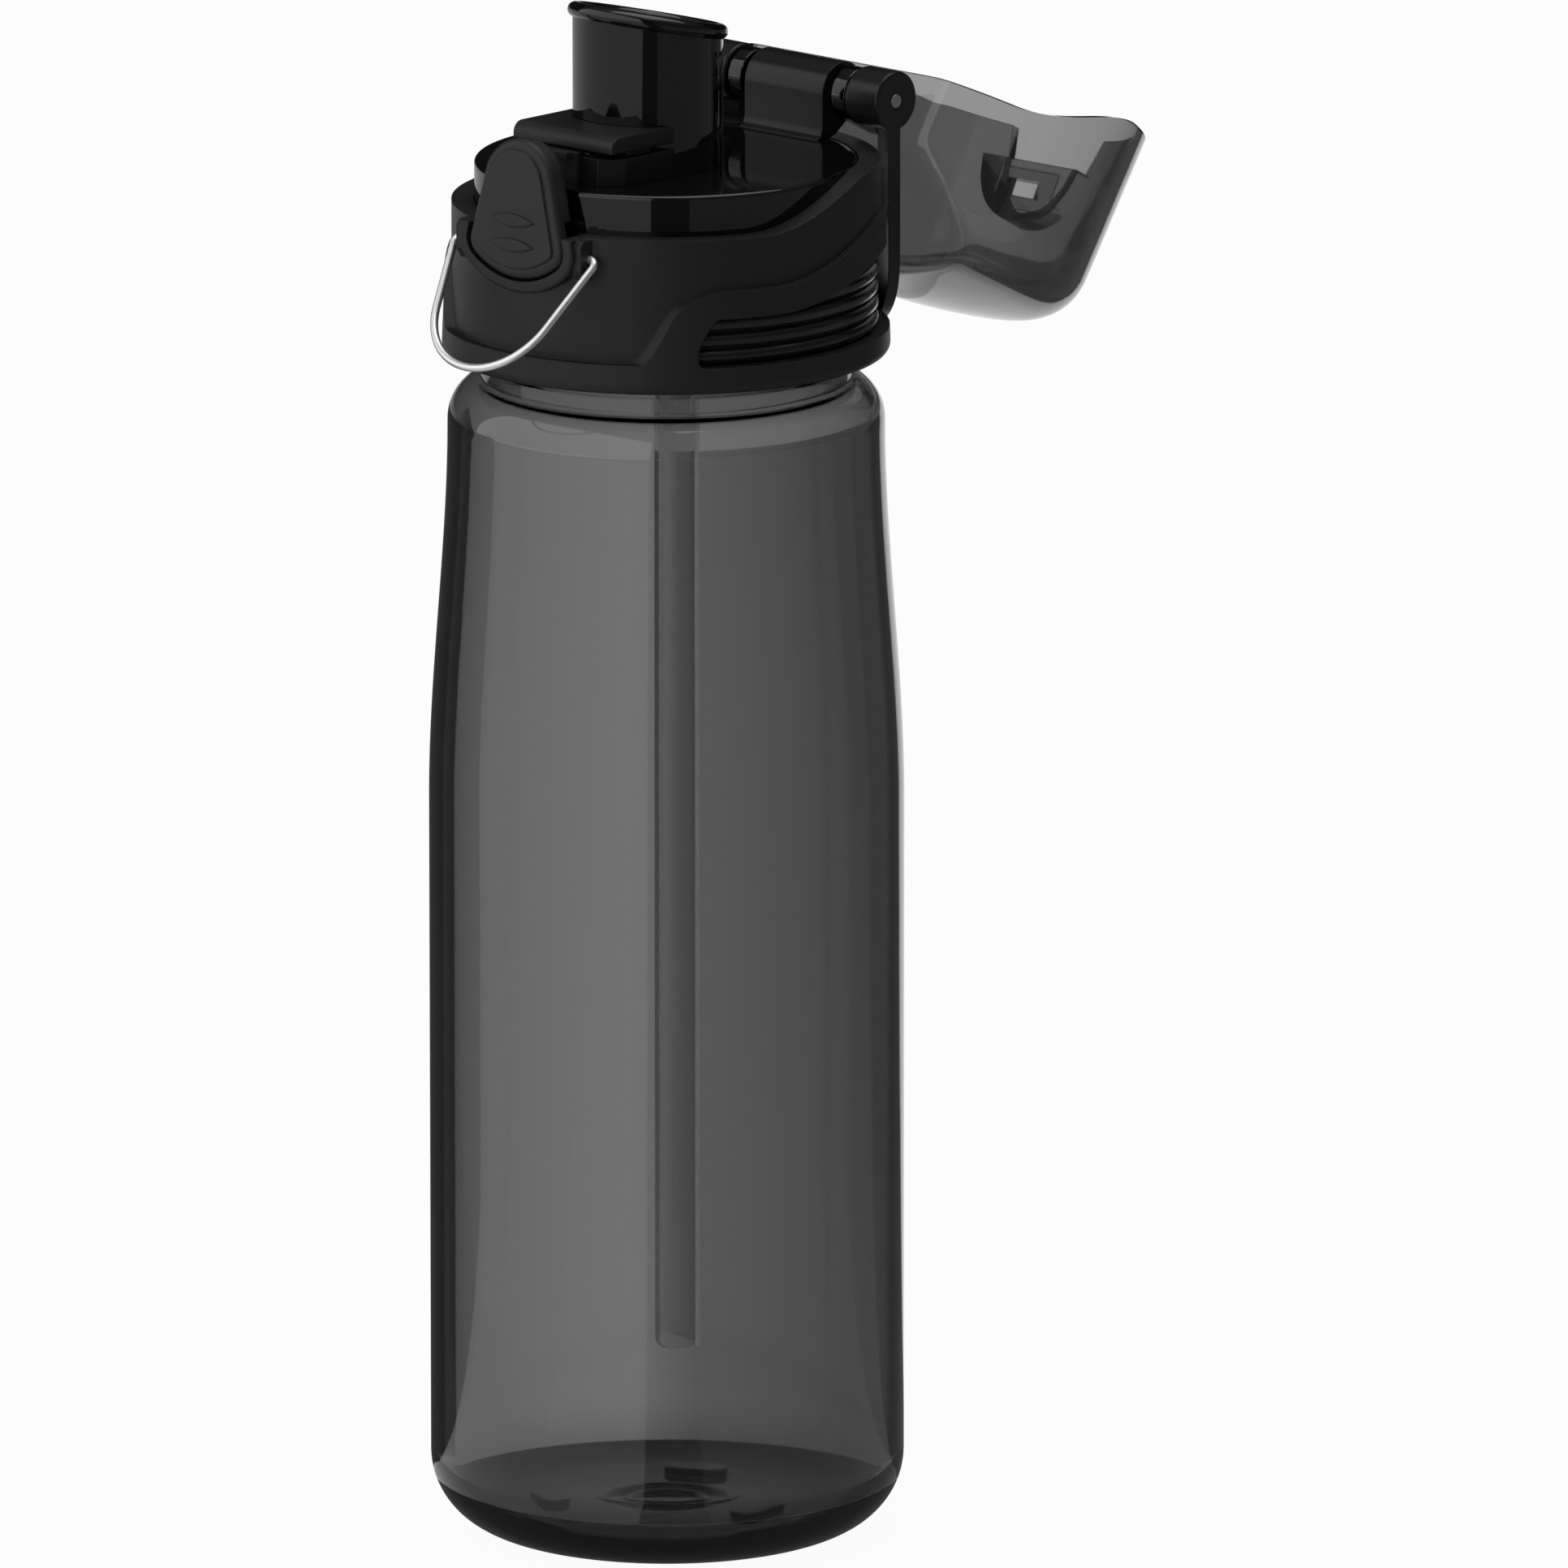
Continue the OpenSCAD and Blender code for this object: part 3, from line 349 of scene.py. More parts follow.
def clear_plastic(name, shade, density, rough, wave, ior=PLASTIC_IOR, tint=1.0):
    """See-through plastic: its thickness absorbs, and its skin is a little wavy."""
    finish, skin, texture, _ = grained_material(name, WAVE_SCALE, wave)
    nodes, links = finish.node_tree.nodes, finish.node_tree.links
    skin.inputs["Base Color"].default_value = (tint, tint, tint, 1)
    skin.inputs["Transmission Weight"].default_value = 1
    skin.inputs["IOR"].default_value = ior
    patchy(finish, skin, texture, rough * (1 - POLISH_SPREAD), rough * (1 + POLISH_SPREAD))
    smoke = nodes.new("ShaderNodeVolumeAbsorption")
    smoke.inputs["Color"].default_value = (*shade, 1)
    smoke.inputs["Density"].default_value = density
    links.new(smoke.outputs["Volume"], nodes["Material Output"].inputs["Volume"])
    return finish


smoke_body = clear_plastic("smoke body", SMOKE, density=575, rough=0.03, wave=0.02)
smoke_lid = clear_plastic("smoke lid", SMOKE, density=900, rough=0.03, wave=0.08)
smoke_straw = clear_plastic(
    "smoke straw", SMOKE, density=40, rough=0.1, wave=0.05, ior=1.03, tint=0.84
)
silicone = clear_plastic("silicone", MILK, density=300, rough=0.35, wave=0.2)
print("clear finishes:", smoke_body.name, smoke_lid.name, smoke_straw.name, silicone.name)

# %% Drawn steel
SCRATCH_SCALE, SCRATCH_DEPTH, DULL_SPREAD = 6000, 0.001, 0.08


def drawn_steel(name, grey, rough):
    """Wire drawn through a die: fine scratches and slightly duller patches."""
    finish, skin, texture, _ = grained_material(name, SCRATCH_SCALE, SCRATCH_DEPTH)
    skin.inputs["Base Color"].default_value = (grey, grey, grey, 1)
    skin.inputs["Metallic"].default_value = 1
    patchy(finish, skin, texture, rough - DULL_SPREAD, rough + DULL_SPREAD)
    return finish


bright_wire = drawn_steel("bright wire", grey=0.85, rough=0.4)
# The pin's steel is the bright wire made darker: painted shade, for a pin that sits in shadow.
shaded_pin_steel = drawn_steel("shaded pin steel", grey=0.4, rough=0.4)
print("metal finishes:", bright_wire.name, shaded_pin_steel.name)


# %% Handing a piece over
def finish_piece(piece, finish, slot, body, *nodes, angle=32):
    """Smooth shading, one finish, and the body and solids that the piece belongs to."""
    pick(piece)
    bpy.ops.object.shade_smooth_by_angle(angle=math.radians(angle))
    even = piece.modifiers.new("even shading", "WEIGHTED_NORMAL")
    even.keep_sharp = True
    bpy.ops.object.modifier_apply(modifier=even.name)
    piece.data.materials.clear()
    piece.data.materials.append(finish)
    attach(piece, body)
    if nodes:
        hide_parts(*nodes)
    print(piece.name, len(piece.data.polygons), "faces on", body)


def refinish(node, finish):
    """A solid that stays as it is gets a better finish."""
    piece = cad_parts[node]
    piece.data.materials.clear()
    piece.data.materials.append(finish)
    print(node, "keeps its solid, with", finish.name)


# %% [markdown]
# ## The bottle
# The body is blow-moulded, so it is turned from one closed outline: flat base, big rounded corner,
# straight side that draws in below the shoulder, and the neck. The wall has two skins, which clear
# plastic needs to bend the light as a real wall does. The raised rings on the floor are part of the
# outline. Three oblong lugs and their pockets are added afterwards, and a screw ridge is wound
# round the neck with the Screw modifier.

# %% The wall's curves
BODY_R, WALL, FLOOR = 36.5, 2.0, 3.0
CORNER_R, WAIST_Z, DRAW_IN = 12.0, 115.0, 3.0
SHOULDER_R, SHOULDER_Z = 7.0, 181.5
TAPER_Z = SHOULDER_Z - SHOULDER_R
SHOULDER_C = BODY_R - DRAW_IN - SHOULDER_R
RING_W, RING_H, RING_FOOT, RING_SIDE, RING_CROWN = 1.4, 0.8, 0.4, 0.7, 0.4


def side(wall, steps=28):
    """The side where it draws in, inset by the wall."""
    return [
        (BODY_R - wall - DRAW_IN * ease((z - WAIST_Z) / (TAPER_Z - WAIST_Z)), z)
        for z in spread(WAIST_Z, TAPER_Z, steps)
    ]


def floor_ring(radius):
    """A low rounded ring on the floor, drawn from its outer to its inner edge."""
    half = RING_W / 2
    side_z, crown_z = FLOOR + RING_H * RING_SIDE, FLOOR + RING_H
    return [
        (radius + half + RING_FOOT, FLOOR),
        (radius + half, side_z),
        (radius + half * RING_CROWN, crown_z),
        (radius - half * RING_CROWN, crown_z),
        (radius - half, side_z),
        (radius - half - RING_FOOT, FLOOR),
    ]


print("side draws in from", WAIST_Z, "to", TAPER_Z, "mm")

# %% Turned body
SHOULDER_START, INNER_SHOULDER_END = 6, 68
NECK_R, NECK_WALL, NECK_TOP = 26.6, 2.2, 207.0
ROOT_R, ROOT_H, ROOT_EDGE = 28.5, 2.4, 0.5
FILLET_W, FILLET_LOW, FILLET_TOP = 0.4, 1.5, 2.2
BULGE, BULGE_TOP, BULGE_H = 1.1, 187.0, 5.0
INNER_ROOT_START, INNER_ROOT_END = 184, 256
FLOOR_RINGS, FINE_STEPS = (10.0, 6.1), 192
BORE_R = NECK_R - NECK_WALL
corner = (BODY_R - CORNER_R, CORNER_R)
shoulder = (SHOULDER_C, TAPER_Z)
shoulder_end = math.degrees(math.acos((ROOT_R - SHOULDER_C) / SHOULDER_R))
lip, root_z = NECK_WALL / 2, SHOULDER_Z + ROOT_H
body_outline = (
    [(0, 0)]
    + arc(corner, CORNER_R, -90, 0, 24)
    + side(0)
    + arc(shoulder, SHOULDER_R, SHOULDER_START, shoulder_end, 14)
    + [(ROOT_R, root_z - ROOT_EDGE), (ROOT_R - ROOT_EDGE, root_z)]
    + [(NECK_R + FILLET_W, root_z + FILLET_LOW), (NECK_R, root_z + FILLET_TOP)]
    + arc((NECK_R - lip, NECK_TOP - lip), lip, 0, 180, 10)
    + [
        (BORE_R + BULGE * ease((BULGE_TOP - z) / BULGE_H), z)
        for z in spread(BULGE_TOP, BULGE_TOP - BULGE_H, 12)
    ]
    + arc((BORE_R + BULGE + WALL, SHOULDER_Z), WALL, INNER_ROOT_START, INNER_ROOT_END, 8)
    + arc(shoulder, SHOULDER_R - WALL, INNER_SHOULDER_END, SHOULDER_START, 14)
    + side(WALL)[::-1]
    + arc((corner[0], FLOOR + CORNER_R - WALL), CORNER_R - WALL, 0, -90, 24)
    + [point for radius in FLOOR_RINGS for point in floor_ring(radius)]
    + [(0, FLOOR)]
)
bottle = turned("bottle", body_outline, steps=FINE_STEPS)
print("bottle outline points:", len(body_outline))

# %% Lugs in the floor
LUG_RING, LUG_L, LUG_W, LUG_DEPTH = 19.2, 8.7, 3.6, 1.2
LUG_RIM, LUG_SUNK, LUG_SOFT, POCKET_SOFT = 1.4, 0.8, 0.35, 0.3


def oblong(length, width):
    """A slot outline with round ends, lying along Y at the lug ring."""
    half, r = (length - width) / 2, width / 2
    return arc((LUG_RING, half), r, 0, 180, 10) + arc((LUG_RING, -half), r, 180, 360, 10)


def turned_about(points, degrees):
    """The points turned about the bottle's axis."""
    c, s = math.cos(math.radians(degrees)), math.sin(math.radians(degrees))
    return [(x * c - y * s, x * s + y * c) for x, y in points]


for turn in (0, 120, 240):
    boss_outline = turned_about(oblong(LUG_L + LUG_RIM, LUG_W + LUG_RIM), turn)
    boss = upward("lug", boss_outline, FLOOR - LUG_SUNK, FLOOR + LUG_DEPTH)
    add(bottle, soften(boss, LUG_SOFT))
    pocket = upward("pocket", turned_about(oblong(LUG_L, LUG_W), turn), -1, LUG_DEPTH)
    cut(bottle, soften(pocket, POCKET_SOFT))
print("lugs set round the floor at", LUG_RING, "mm")

# %% Screw ridge
PITCH, RIDGE_TURNS, RIDGE_STEPS = 4.0, 1.6, 120
RIDGE_H, RIDGE_Z, RIDGE_SUNK, RIDGE_FOOT, RIDGE_TOP = 0.9, 193.5, 0.3, 1.1, 0.35
ridge = drawn_line(
    "screw_ridge",
    [
        (NECK_R - RIDGE_SUNK, 0, RIDGE_Z - RIDGE_FOOT),
        (NECK_R + RIDGE_H, 0, RIDGE_Z - RIDGE_TOP),
        (NECK_R + RIDGE_H, 0, RIDGE_Z + RIDGE_TOP),
        (NECK_R - RIDGE_SUNK, 0, RIDGE_Z + RIDGE_FOOT),
        (NECK_R - RIDGE_SUNK, 0, RIDGE_Z - RIDGE_FOOT),
    ],
)
bpy.ops.mesh.select_all(action="SELECT")
bpy.ops.mesh.remove_doubles(threshold=WELD)
bpy.ops.mesh.edge_face_add()
bpy.ops.object.mode_set(mode="OBJECT")
winding = ridge.modifiers.new("winding", "SCREW")
winding.angle = math.tau * RIDGE_TURNS
winding.screw_offset = PITCH * RIDGE_TURNS * MM
winding.steps = winding.render_steps = RIDGE_STEPS
winding.use_normal_calculate = True
bpy.ops.object.modifier_apply(modifier=winding.name)
bpy.ops.object.mode_set(mode="EDIT")
bpy.ops.mesh.select_all(action="DESELECT")
bpy.ops.mesh.select_non_manifold()
bpy.ops.mesh.edge_face_add()
close_up()
finish_piece(ridge, smoke_body, "smoke_plastic", "bottle")
finish_piece(bottle, smoke_body, "smoke_plastic", "bottle", "bottle_body", angle=40)

# %% [markdown]
# ## The inner cap
# The glossy inner cap screws onto the neck. Its deck carries the spout, the block behind the button
# and the barrel of the hinge, and its side carries the ribbed grip that shows through the collar.
# All this is one moulding. The cap is turned first, and the grip, the block and the barrel are made
# as shapes of their own, because each has another polish. The holes are cut last.

# %% Cap values
DECK_Z, DECK_R = 215.0, 29.3
SKIRT_BORE, SKIRT_H, DECK_T, HEAD_H = 28.0, 28.0, 3.8, 6.3
RECESS_R, CAP_EDGE = 22, 0.6
COLLAR_BORE, COLLAR_R, COLLAR_H = 29.4, 32.8, 30.0
HINGE_Y, HINGE_Z, KNUCKLE_R = 30.8, DECK_Z + 6.9, 4.6
SPOUT_Y, SPOUT_R, SPIGOT_R = -4.0, 11.5, 10.6
HOOD_W, HOOD_FRONT, HOOD_BACK, BLOCK_H = 10.4, -22.9, -7.0, 4.2
FAR, FIT = 60.0, 0.1
SPOUT_ROOM = SPOUT_R + FIT
print("cap deck at", DECK_Z, "mm")

# %% Curves of collar and window
LEDGE_DROP, LEDGE_START, LEDGE_END = 6.2, -11, 14
BAND_LOW, BAND_START, BAND_END = -25.3, -27.6, 22
BAND_RISES = ((9.0, BAND_START, 5.2), (2.2, -23.5, 6.5), (7.1, -10, 32))
WINDOW_LOW, WINDOW_FRONT, WINDOW_BACK, WINDOW_MID = -25.8, -18.3, -13.05, -22.0
WINDOW_RISE, RISE_START, RISE_END = 5.25, -10, 21
WINDOW_END = [(-20.0, -25.8), (-20.45, -25.7), (-20.85, -25.4), (-21.08, -24.9), (-21.12, -24.2)]
WINDOW_END += [(-21.0, -22.9), (-20.65, -21.9), (-20.2, -20.9), (-19.55, -19.7), (-19.1, -18.9)]
WINDOW_END += [(-18.6, -18.4), (-17.8, -18.3)]


def ledge_at(y):
    """Height of the collar's ledge above the deck."""
    return -LEDGE_DROP * (1 - ease((y - LEDGE_START) / (LEDGE_END - LEDGE_START)))


def band_at(y):
    """Height of the raised band's S-shaped edge, in three rises of (height, start, length)."""
    height = BAND_LOW
    for rise, start, length in BAND_RISES:
        height += rise * ease((y - start) / length)
    return height


def window_at(y):
    """Height of the window's upper edge."""
    return WINDOW_FRONT + WINDOW_RISE * ease((y - RISE_START) / (RISE_END - RISE_START))


def window_shape(name, grow):
    """The slot in the collar that shows the grip, all the way round the back."""
    outline = [(FAR, WINDOW_LOW - grow)]
    outline += [(y - grow, z + (grow if z > WINDOW_MID else -grow)) for y, z in WINDOW_END]
    outline += [(y, window_at(y) + grow) for y in spread(RISE_START, RISE_END, 30)]
    outline += [(FAR, WINDOW_BACK + grow)]
    return across(name, [(y, z + DECK_Z) for y, z in outline], -FAR, FAR)


print("ledge climbs by", LEDGE_DROP, "mm to the back")

# %% Turned cap and ribbed grip
cap_outline = (
    [(0, -DECK_T), (RECESS_R, -DECK_T), (RECESS_R, -HEAD_H), (SKIRT_BORE, -HEAD_H)]
    + [(SKIRT_BORE, -SKIRT_H), (DECK_R, -SKIRT_H)]
    + arc((DECK_R - CAP_EDGE, -CAP_EDGE), CAP_EDGE, 0, 90, 6)
    + [(0, 0)]
)
cap = turned("cap", [(r, z + DECK_Z) for r, z in cap_outline])
RIBS, RIB_ROOT, RIB_PITCH, RIB_R, RIB_HALF, GRIP_SUNK = 5, 31.48, 2.55, 1.02, 1.2, 0.6
grip_outline = [(DECK_R - GRIP_SUNK, WINDOW_LOW)]
for i in range(RIBS):
    middle = WINDOW_LOW + RIB_PITCH * (i + 0.5)
    rib = arc((0, 0), 1, -90, 90, 10)
    grip_outline += [(RIB_ROOT + RIB_R * out, middle + RIB_HALF * up) for out, up in rib]
grip_outline += [(RIB_ROOT, WINDOW_BACK), (DECK_R - GRIP_SUNK, WINDOW_BACK)]
grip = turned("grip", [(r, z + DECK_Z) for r, z in grip_outline])
keep(grip, window_shape("grip limit", -FIT))
finish_piece(grip, rib_black, "gloss_black", "cap")

# %% The button's outline
BUTTON_TOP_R, BUTTON_TOP_C, BUTTON_LOW_R, BUTTON_LOW_X = 7.2, 0.6, 2.9, 6.85
BUTTON_FOOT_R, BUTTON_FOOT_C = 14.5, 0.8
BUTTON_LOW_C = BUTTON_FOOT_C - math.sqrt((BUTTON_FOOT_R - BUTTON_LOW_R) ** 2 - BUTTON_LOW_X**2)


def arch_outline(grow, steps=14):
    """The button's outline: a bowed foot, two round corners, straight sides and a round top."""
    r_top, r_low = BUTTON_TOP_R + grow, BUTTON_LOW_R + grow
    meet = math.degrees(math.atan2(BUTTON_LOW_C - BUTTON_FOOT_C, BUTTON_LOW_X))
    run = math.hypot(BUTTON_LOW_X, BUTTON_TOP_C - BUTTON_LOW_C)
    lean = math.degrees(
        math.atan2(BUTTON_LOW_X, BUTTON_TOP_C - BUTTON_LOW_C) + math.asin((r_low - r_top) / run)
    )
    right = arc((0, BUTTON_FOOT_C), BUTTON_FOOT_R + grow, -90, meet, steps)
    right += arc((BUTTON_LOW_X, BUTTON_LOW_C), r_low, meet, lean, steps)[1:]
    right += arc((0, BUTTON_TOP_C), r_top, lean, 90, steps)
    return [(x, z + DECK_Z) for x, z in right + [(-x, z) for x, z in right[-2:0:-1]]]


print("button outline points:", len(arch_outline(0)))


# %% Rods, posts and boxes
def rod(name, radius, half, y, z, steps=48):
    """A round rod along X, as long to the left as to the right."""
    return across(name, round_points((y, z), radius, steps), -half, half)


def post(name, radius, x, y, low, high, steps=96):
    """A round post along Z."""
    return upward(name, round_points((x, y), radius, steps), low, high)


def box_shape(name, low, high):
    (x0, y0, z0), (x1, y1, z1) = low, high
    return upward(name, [(x0, y0), (x1, y0), (x1, y1), (x0, y1)], z0, z1)


print("cutters ready")

# %% Block and barrel
CHAMFER, BLOCK_SOFT = 3.0, 0.25
block_outline = [
    (-HOOD_W, HOOD_BACK),
    (-HOOD_W, HOOD_FRONT + CHAMFER),
    (-HOOD_W + CHAMFER, HOOD_FRONT),
    (HOOD_W - CHAMFER, HOOD_FRONT),
    (HOOD_W, HOOD_FRONT + CHAMFER),
    (HOOD_W, HOOD_BACK),
]
block = upward("latch_block", block_outline, DECK_Z, DECK_Z + BLOCK_H)
cut(block, post("room for the spout", SPOUT_ROOM, 0, SPOUT_Y, DECK_Z - 5, DECK_Z + 9, 120))
soften(block, BLOCK_SOFT, 2)
BARREL_W, BARREL_SOFT, BARREL_END = 8.2, 0.35, 27.8
BARREL_FOOT = ((0, 1.6), (0.4, 0.6), (1.4, 0))
barrel_outline = (
    arc((HINGE_Y, HINGE_Z), KNUCKLE_R, -35, 180, 40)
    + [(HINGE_Y - KNUCKLE_R - out, DECK_Z + up) for out, up in BARREL_FOOT]
    + [(BARREL_END, DECK_Z), (BARREL_END, DECK_Z + 0.1), (DECK_R - 0.3, DECK_Z + 0.4)]
)
barrel = soften(across("hinge_barrel", barrel_outline, -BARREL_W, BARREL_W), BARREL_SOFT)
print("barrel of the hinge at", HINGE_Y, HINGE_Z)

# %% Holes
HOLE_LOW, HOLE_TOP = DECK_Z - 6, DECK_Z + 1
VENT_R, VENT_X, VENT_Y = 1.3, -14.5, 7
ROOM_GAP, ROOM_BACK, ROOM_H, ROOM_SOFT = 0.5, -27.1, 4.8, 0.4
SLOT_X, SLOT_FRONT, SLOT_BACK, SLOT_LOW, SLOT_TOP = 4.2, -31, -16.7, DECK_Z - 2.7, DECK_Z + 6
PIN_BORE, PIN_BORE_HALF = 1.17, 9.2
cut(cap, post("spigot hole", SPIGOT_R + FIT, 0, SPOUT_Y, HOLE_LOW, HOLE_TOP))
cut(cap, post("vent hole", VENT_R, VENT_X, VENT_Y, HOLE_LOW, HOLE_TOP, 32))
room = along("button room", arch_outline(ROOM_GAP), -FAR, ROOM_BACK)
keep(room, box_shape("room limit", (-FAR, -FAR, DECK_Z - ROOM_H), (FAR, 0, DECK_Z + FAR)))
cut(cap, soften(room, ROOM_SOFT))
for piece in (cap, block):
    slot_low, slot_high = (-SLOT_X, SLOT_FRONT, SLOT_LOW), (SLOT_X, SLOT_BACK, SLOT_TOP)
    cut(piece, box_shape("latch slot", slot_low, slot_high))
cut(barrel, rod("pin bore", PIN_BORE, PIN_BORE_HALF, HINGE_Y, HINGE_Z))
finish_piece(cap, gloss_black, "gloss_black", "cap", "inner_cap")
finish_piece(block, moulded_black, "gloss_black", "cap")
finish_piece(barrel, moulded_black, "gloss_black", "cap")

# %% [markdown]
# ## The collar
# The satin collar wraps the inner cap. Its upper edge is a ledge for the lid that climbs to the
# back, a raised band with an S-shaped edge wraps it, and a window shows the grip. Each curve is a
# height over the front-to-back distance, so it is cut with a prism that runs right across.

# %% Turned collar with its curves
BAND_R, BAND_TOP_R, BAND_TOP, BAND_EDGE_R, BAND_SOFT = 34.3, 33.5, -7, 1.6, 0.9


def tube_between(name, inner, outer, low, high, steps):
    """A plain turned tube."""
    return turned(name, [(inner, low), (outer, low), (outer, high), (inner, high)], steps=steps)


def under_curve(name, height_at, start, end, shift=0.0):
    """Everything below a height that changes from front to back."""
    outline = [(-FAR, -FAR), (-FAR, height_at(-FAR) + shift)]
    outline += [(y, height_at(y) + shift) for y in spread(start, end, 112)]
    outline += [(FAR, height_at(FAR) + shift), (FAR, -FAR)]
    return across(name, [(y, z + DECK_Z) for y, z in outline], -FAR, FAR)


collar = tube_between("collar", COLLAR_BORE, COLLAR_R, DECK_Z - COLLAR_H, DECK_Z, FINE_STEPS)
keep(collar, under_curve("ledge", ledge_at, LEDGE_START, LEDGE_END))
band_outline = [(COLLAR_BORE, -COLLAR_H)]
band_outline += arc((BAND_R - BAND_EDGE_R, -COLLAR_H + BAND_EDGE_R), BAND_EDGE_R, -90, 0, 10)
band_outline += [(BAND_TOP_R, BAND_TOP), (COLLAR_BORE, BAND_TOP)]
band = turned("band", [(r, z + DECK_Z) for r, z in band_outline], steps=FINE_STEPS)
keep(band, under_curve("band edge", band_at, BAND_START, BAND_END))
add(collar, soften(band, BAND_SOFT, 4, 40))
print("collar from", DECK_Z - COLLAR_H, "to", DECK_Z)

# %% Bezel, lugs and cuts
BAIL_Y, BAIL_Z = -30.7, DECK_Z - 9.3
BEZEL_GROW, BEZEL_FRONT, BEZEL_BACK, BEZEL_SOFT = 2.2, -33.4, -29.6, 0.6
LUG_IN, LUG_OUT = 9.75, 13.07
LUG_POINTS = [(-32.6, -1.6), (-31.6, -3.1), (BEZEL_BACK, -3.1)]
LUG_POINTS += [(BEZEL_BACK, 2.9), (-31.8, 2.9), (-32.6, 2.1)]
POCKET_GAP, POCKET_BACK, BAIL_BORE, BAIL_BORE_HALF = 0.4, -28.3, 0.685, 14
bezel = along("bezel", arch_outline(BEZEL_GROW), BEZEL_FRONT, BEZEL_BACK)
soften(bezel, BEZEL_SOFT, 3)
for s in (-1, 1):
    lug_outline = [(y, BAIL_Z + z) for y, z in LUG_POINTS]
    add(bezel, across("bail lug", lug_outline, *sorted((s * LUG_IN, s * LUG_OUT))))
keep(bezel, under_curve("bezel top", ledge_at, LEDGE_START, LEDGE_END, -FIT))
add(collar, bezel)
cut(collar, window_shape("grip window", 0))
cut(collar, along("button pocket", arch_outline(POCKET_GAP), -FAR, POCKET_BACK))
cut(collar, rod("bail bore", BAIL_BORE, BAIL_BORE_HALF, BAIL_Y, BAIL_Z, 24))
finish_piece(collar, matte_black, "matte_black", "cap", "outer_collar")

# %% [markdown]
# ## The spout
# A plain tube with a slanted, rolled mouth, higher at the front. The tube is turned too tall, cut
# off with a tilted bisect, and a tilted torus makes the lip that one drinks from.

# %% Tube with a slanted end
MOUTH_Z, MOUTH_TILT = DECK_Z + 22, math.radians(13)
SPOUT_BORE, SPIGOT_H, SEAT, SPARE, SPOUT_STEPS = 9.5, 5.8, 0.02, 12, 144
spout_outline = [
    (SPOUT_BORE, DECK_Z - SPIGOT_H),
    (SPIGOT_R, DECK_Z - SPIGOT_H),
    (SPIGOT_R, DECK_Z + SEAT),
    (SPOUT_R, DECK_Z + SEAT),
    (SPOUT_R, MOUTH_Z + SPARE),
    (SPOUT_BORE, MOUTH_Z + SPARE),
]
spout = turned("spout", spout_outline, centre=(0, SPOUT_Y), steps=SPOUT_STEPS)
bpy.ops.object.mode_set(mode="EDIT")
bpy.ops.mesh.select_all(action="SELECT")
bpy.ops.mesh.bisect(
    plane_co=(0, SPOUT_Y * MM, MOUTH_Z * MM),
    plane_no=(0, math.sin(MOUTH_TILT), math.cos(MOUTH_TILT)),
    use_fill=True,
    clear_outer=True,
)
close_up()
print("mouth at", MOUTH_Z, "mm")

# %% Rolled lip
LIP_T, LIP_IN = 2.4, 0.3
to_object_mode()
bpy.ops.mesh.primitive_torus_add(
    major_segments=SPOUT_STEPS,
    minor_segments=24,
    major_radius=(SPOUT_R - LIP_IN) * MM,
    minor_radius=LIP_T / 2 * MM,
    location=(0, SPOUT_Y * MM, MOUTH_Z * MM),
    rotation=(-MOUTH_TILT, 0, 0),
)
lip_ring = bpy.context.object
bpy.ops.object.transform_apply(location=True, rotation=True, scale=True)
add(spout, lip_ring)
finish_piece(spout, gloss_black, "gloss_black", "cap", "drink_spout")

# %% [markdown]
# ## Hood and button
# The flat hood behind the button shields the latch, and the button is an arched plate with a raised
# panel and two leaf-shaped grips. Behind the plate a stem carries the hook that holds the lid.

# %% Hood
HOOD_Z, HOOD_T, HOOD_NOSE, HOOD_SOFT = DECK_Z + 5.2, 2.5, 1.8, 0.5
FOOT_IN, FOOT_OUT, FOOT_FRONT, FOOT_BACK, FOOT_SUNK = 5.2, 9.4, -17.7, -13.2, 0.5


def spout_room():
    return post("spout room", SPOUT_ROOM, 0, SPOUT_Y, DECK_Z - 1, DECK_Z + 20)


hood_side = (
    [(HOOD_BACK, HOOD_Z), (HOOD_FRONT, HOOD_Z)]
    + arc((HOOD_FRONT + HOOD_NOSE, HOOD_Z + HOOD_T - HOOD_NOSE), HOOD_NOSE, 180, 90, 8)
    + [(HOOD_BACK, HOOD_Z + HOOD_T)]
)
hood = across("hood", hood_side, -HOOD_W, HOOD_W)
cut(hood, spout_room())
soften(hood, HOOD_SOFT)
for s in (-1, 1):
    x0, x1 = sorted((s * FOOT_IN, s * FOOT_OUT))
    foot_low, foot_high = (x0, FOOT_FRONT, DECK_Z + BLOCK_H), (x1, FOOT_BACK, HOOD_Z + FOOT_SUNK)
    foot = box_shape("hood foot", foot_low, foot_high)
    cut(foot, spout_room())
    add(hood, foot)
finish_piece(hood, matte_black, "matte_black", "cap", "latch_hood")

# %% Button plate and panel
FACE_Y, BACK_Y, HEAD_T, FACE_SOFT, FACE_LEAN = -33.1, -31.3, 3.9, 1.1, math.radians(3)
COLLAR_ROOM_TOP = DECK_Z - 4
PANEL_IN, PANEL_H, PANEL_SUNK, PANEL_SOFT = 1.6, 0.45, 0.9, 0.3
button = soften(along("button", arch_outline(0), FACE_Y, FACE_Y + HEAD_T), FACE_SOFT, 5)
cut(button, box_shape("collar room", (-FAR, BACK_Y, DECK_Z - FAR), (FAR, 0, COLLAR_ROOM_TOP)))
panel = along("panel", arch_outline(-PANEL_IN), FACE_Y - PANEL_H, FACE_Y + PANEL_SUNK)
add(button, soften(panel, PANEL_SOFT, 3))
print("button face at", FACE_Y, "mm")

# %% Leaf-shaped grips
LEAF_W, LEAF_H, LEAF_UP, LEAF_SOFT, LEAF_ROWS = 9.0, 2.0, 0.9, 0.25, (-4.6, -8.4)


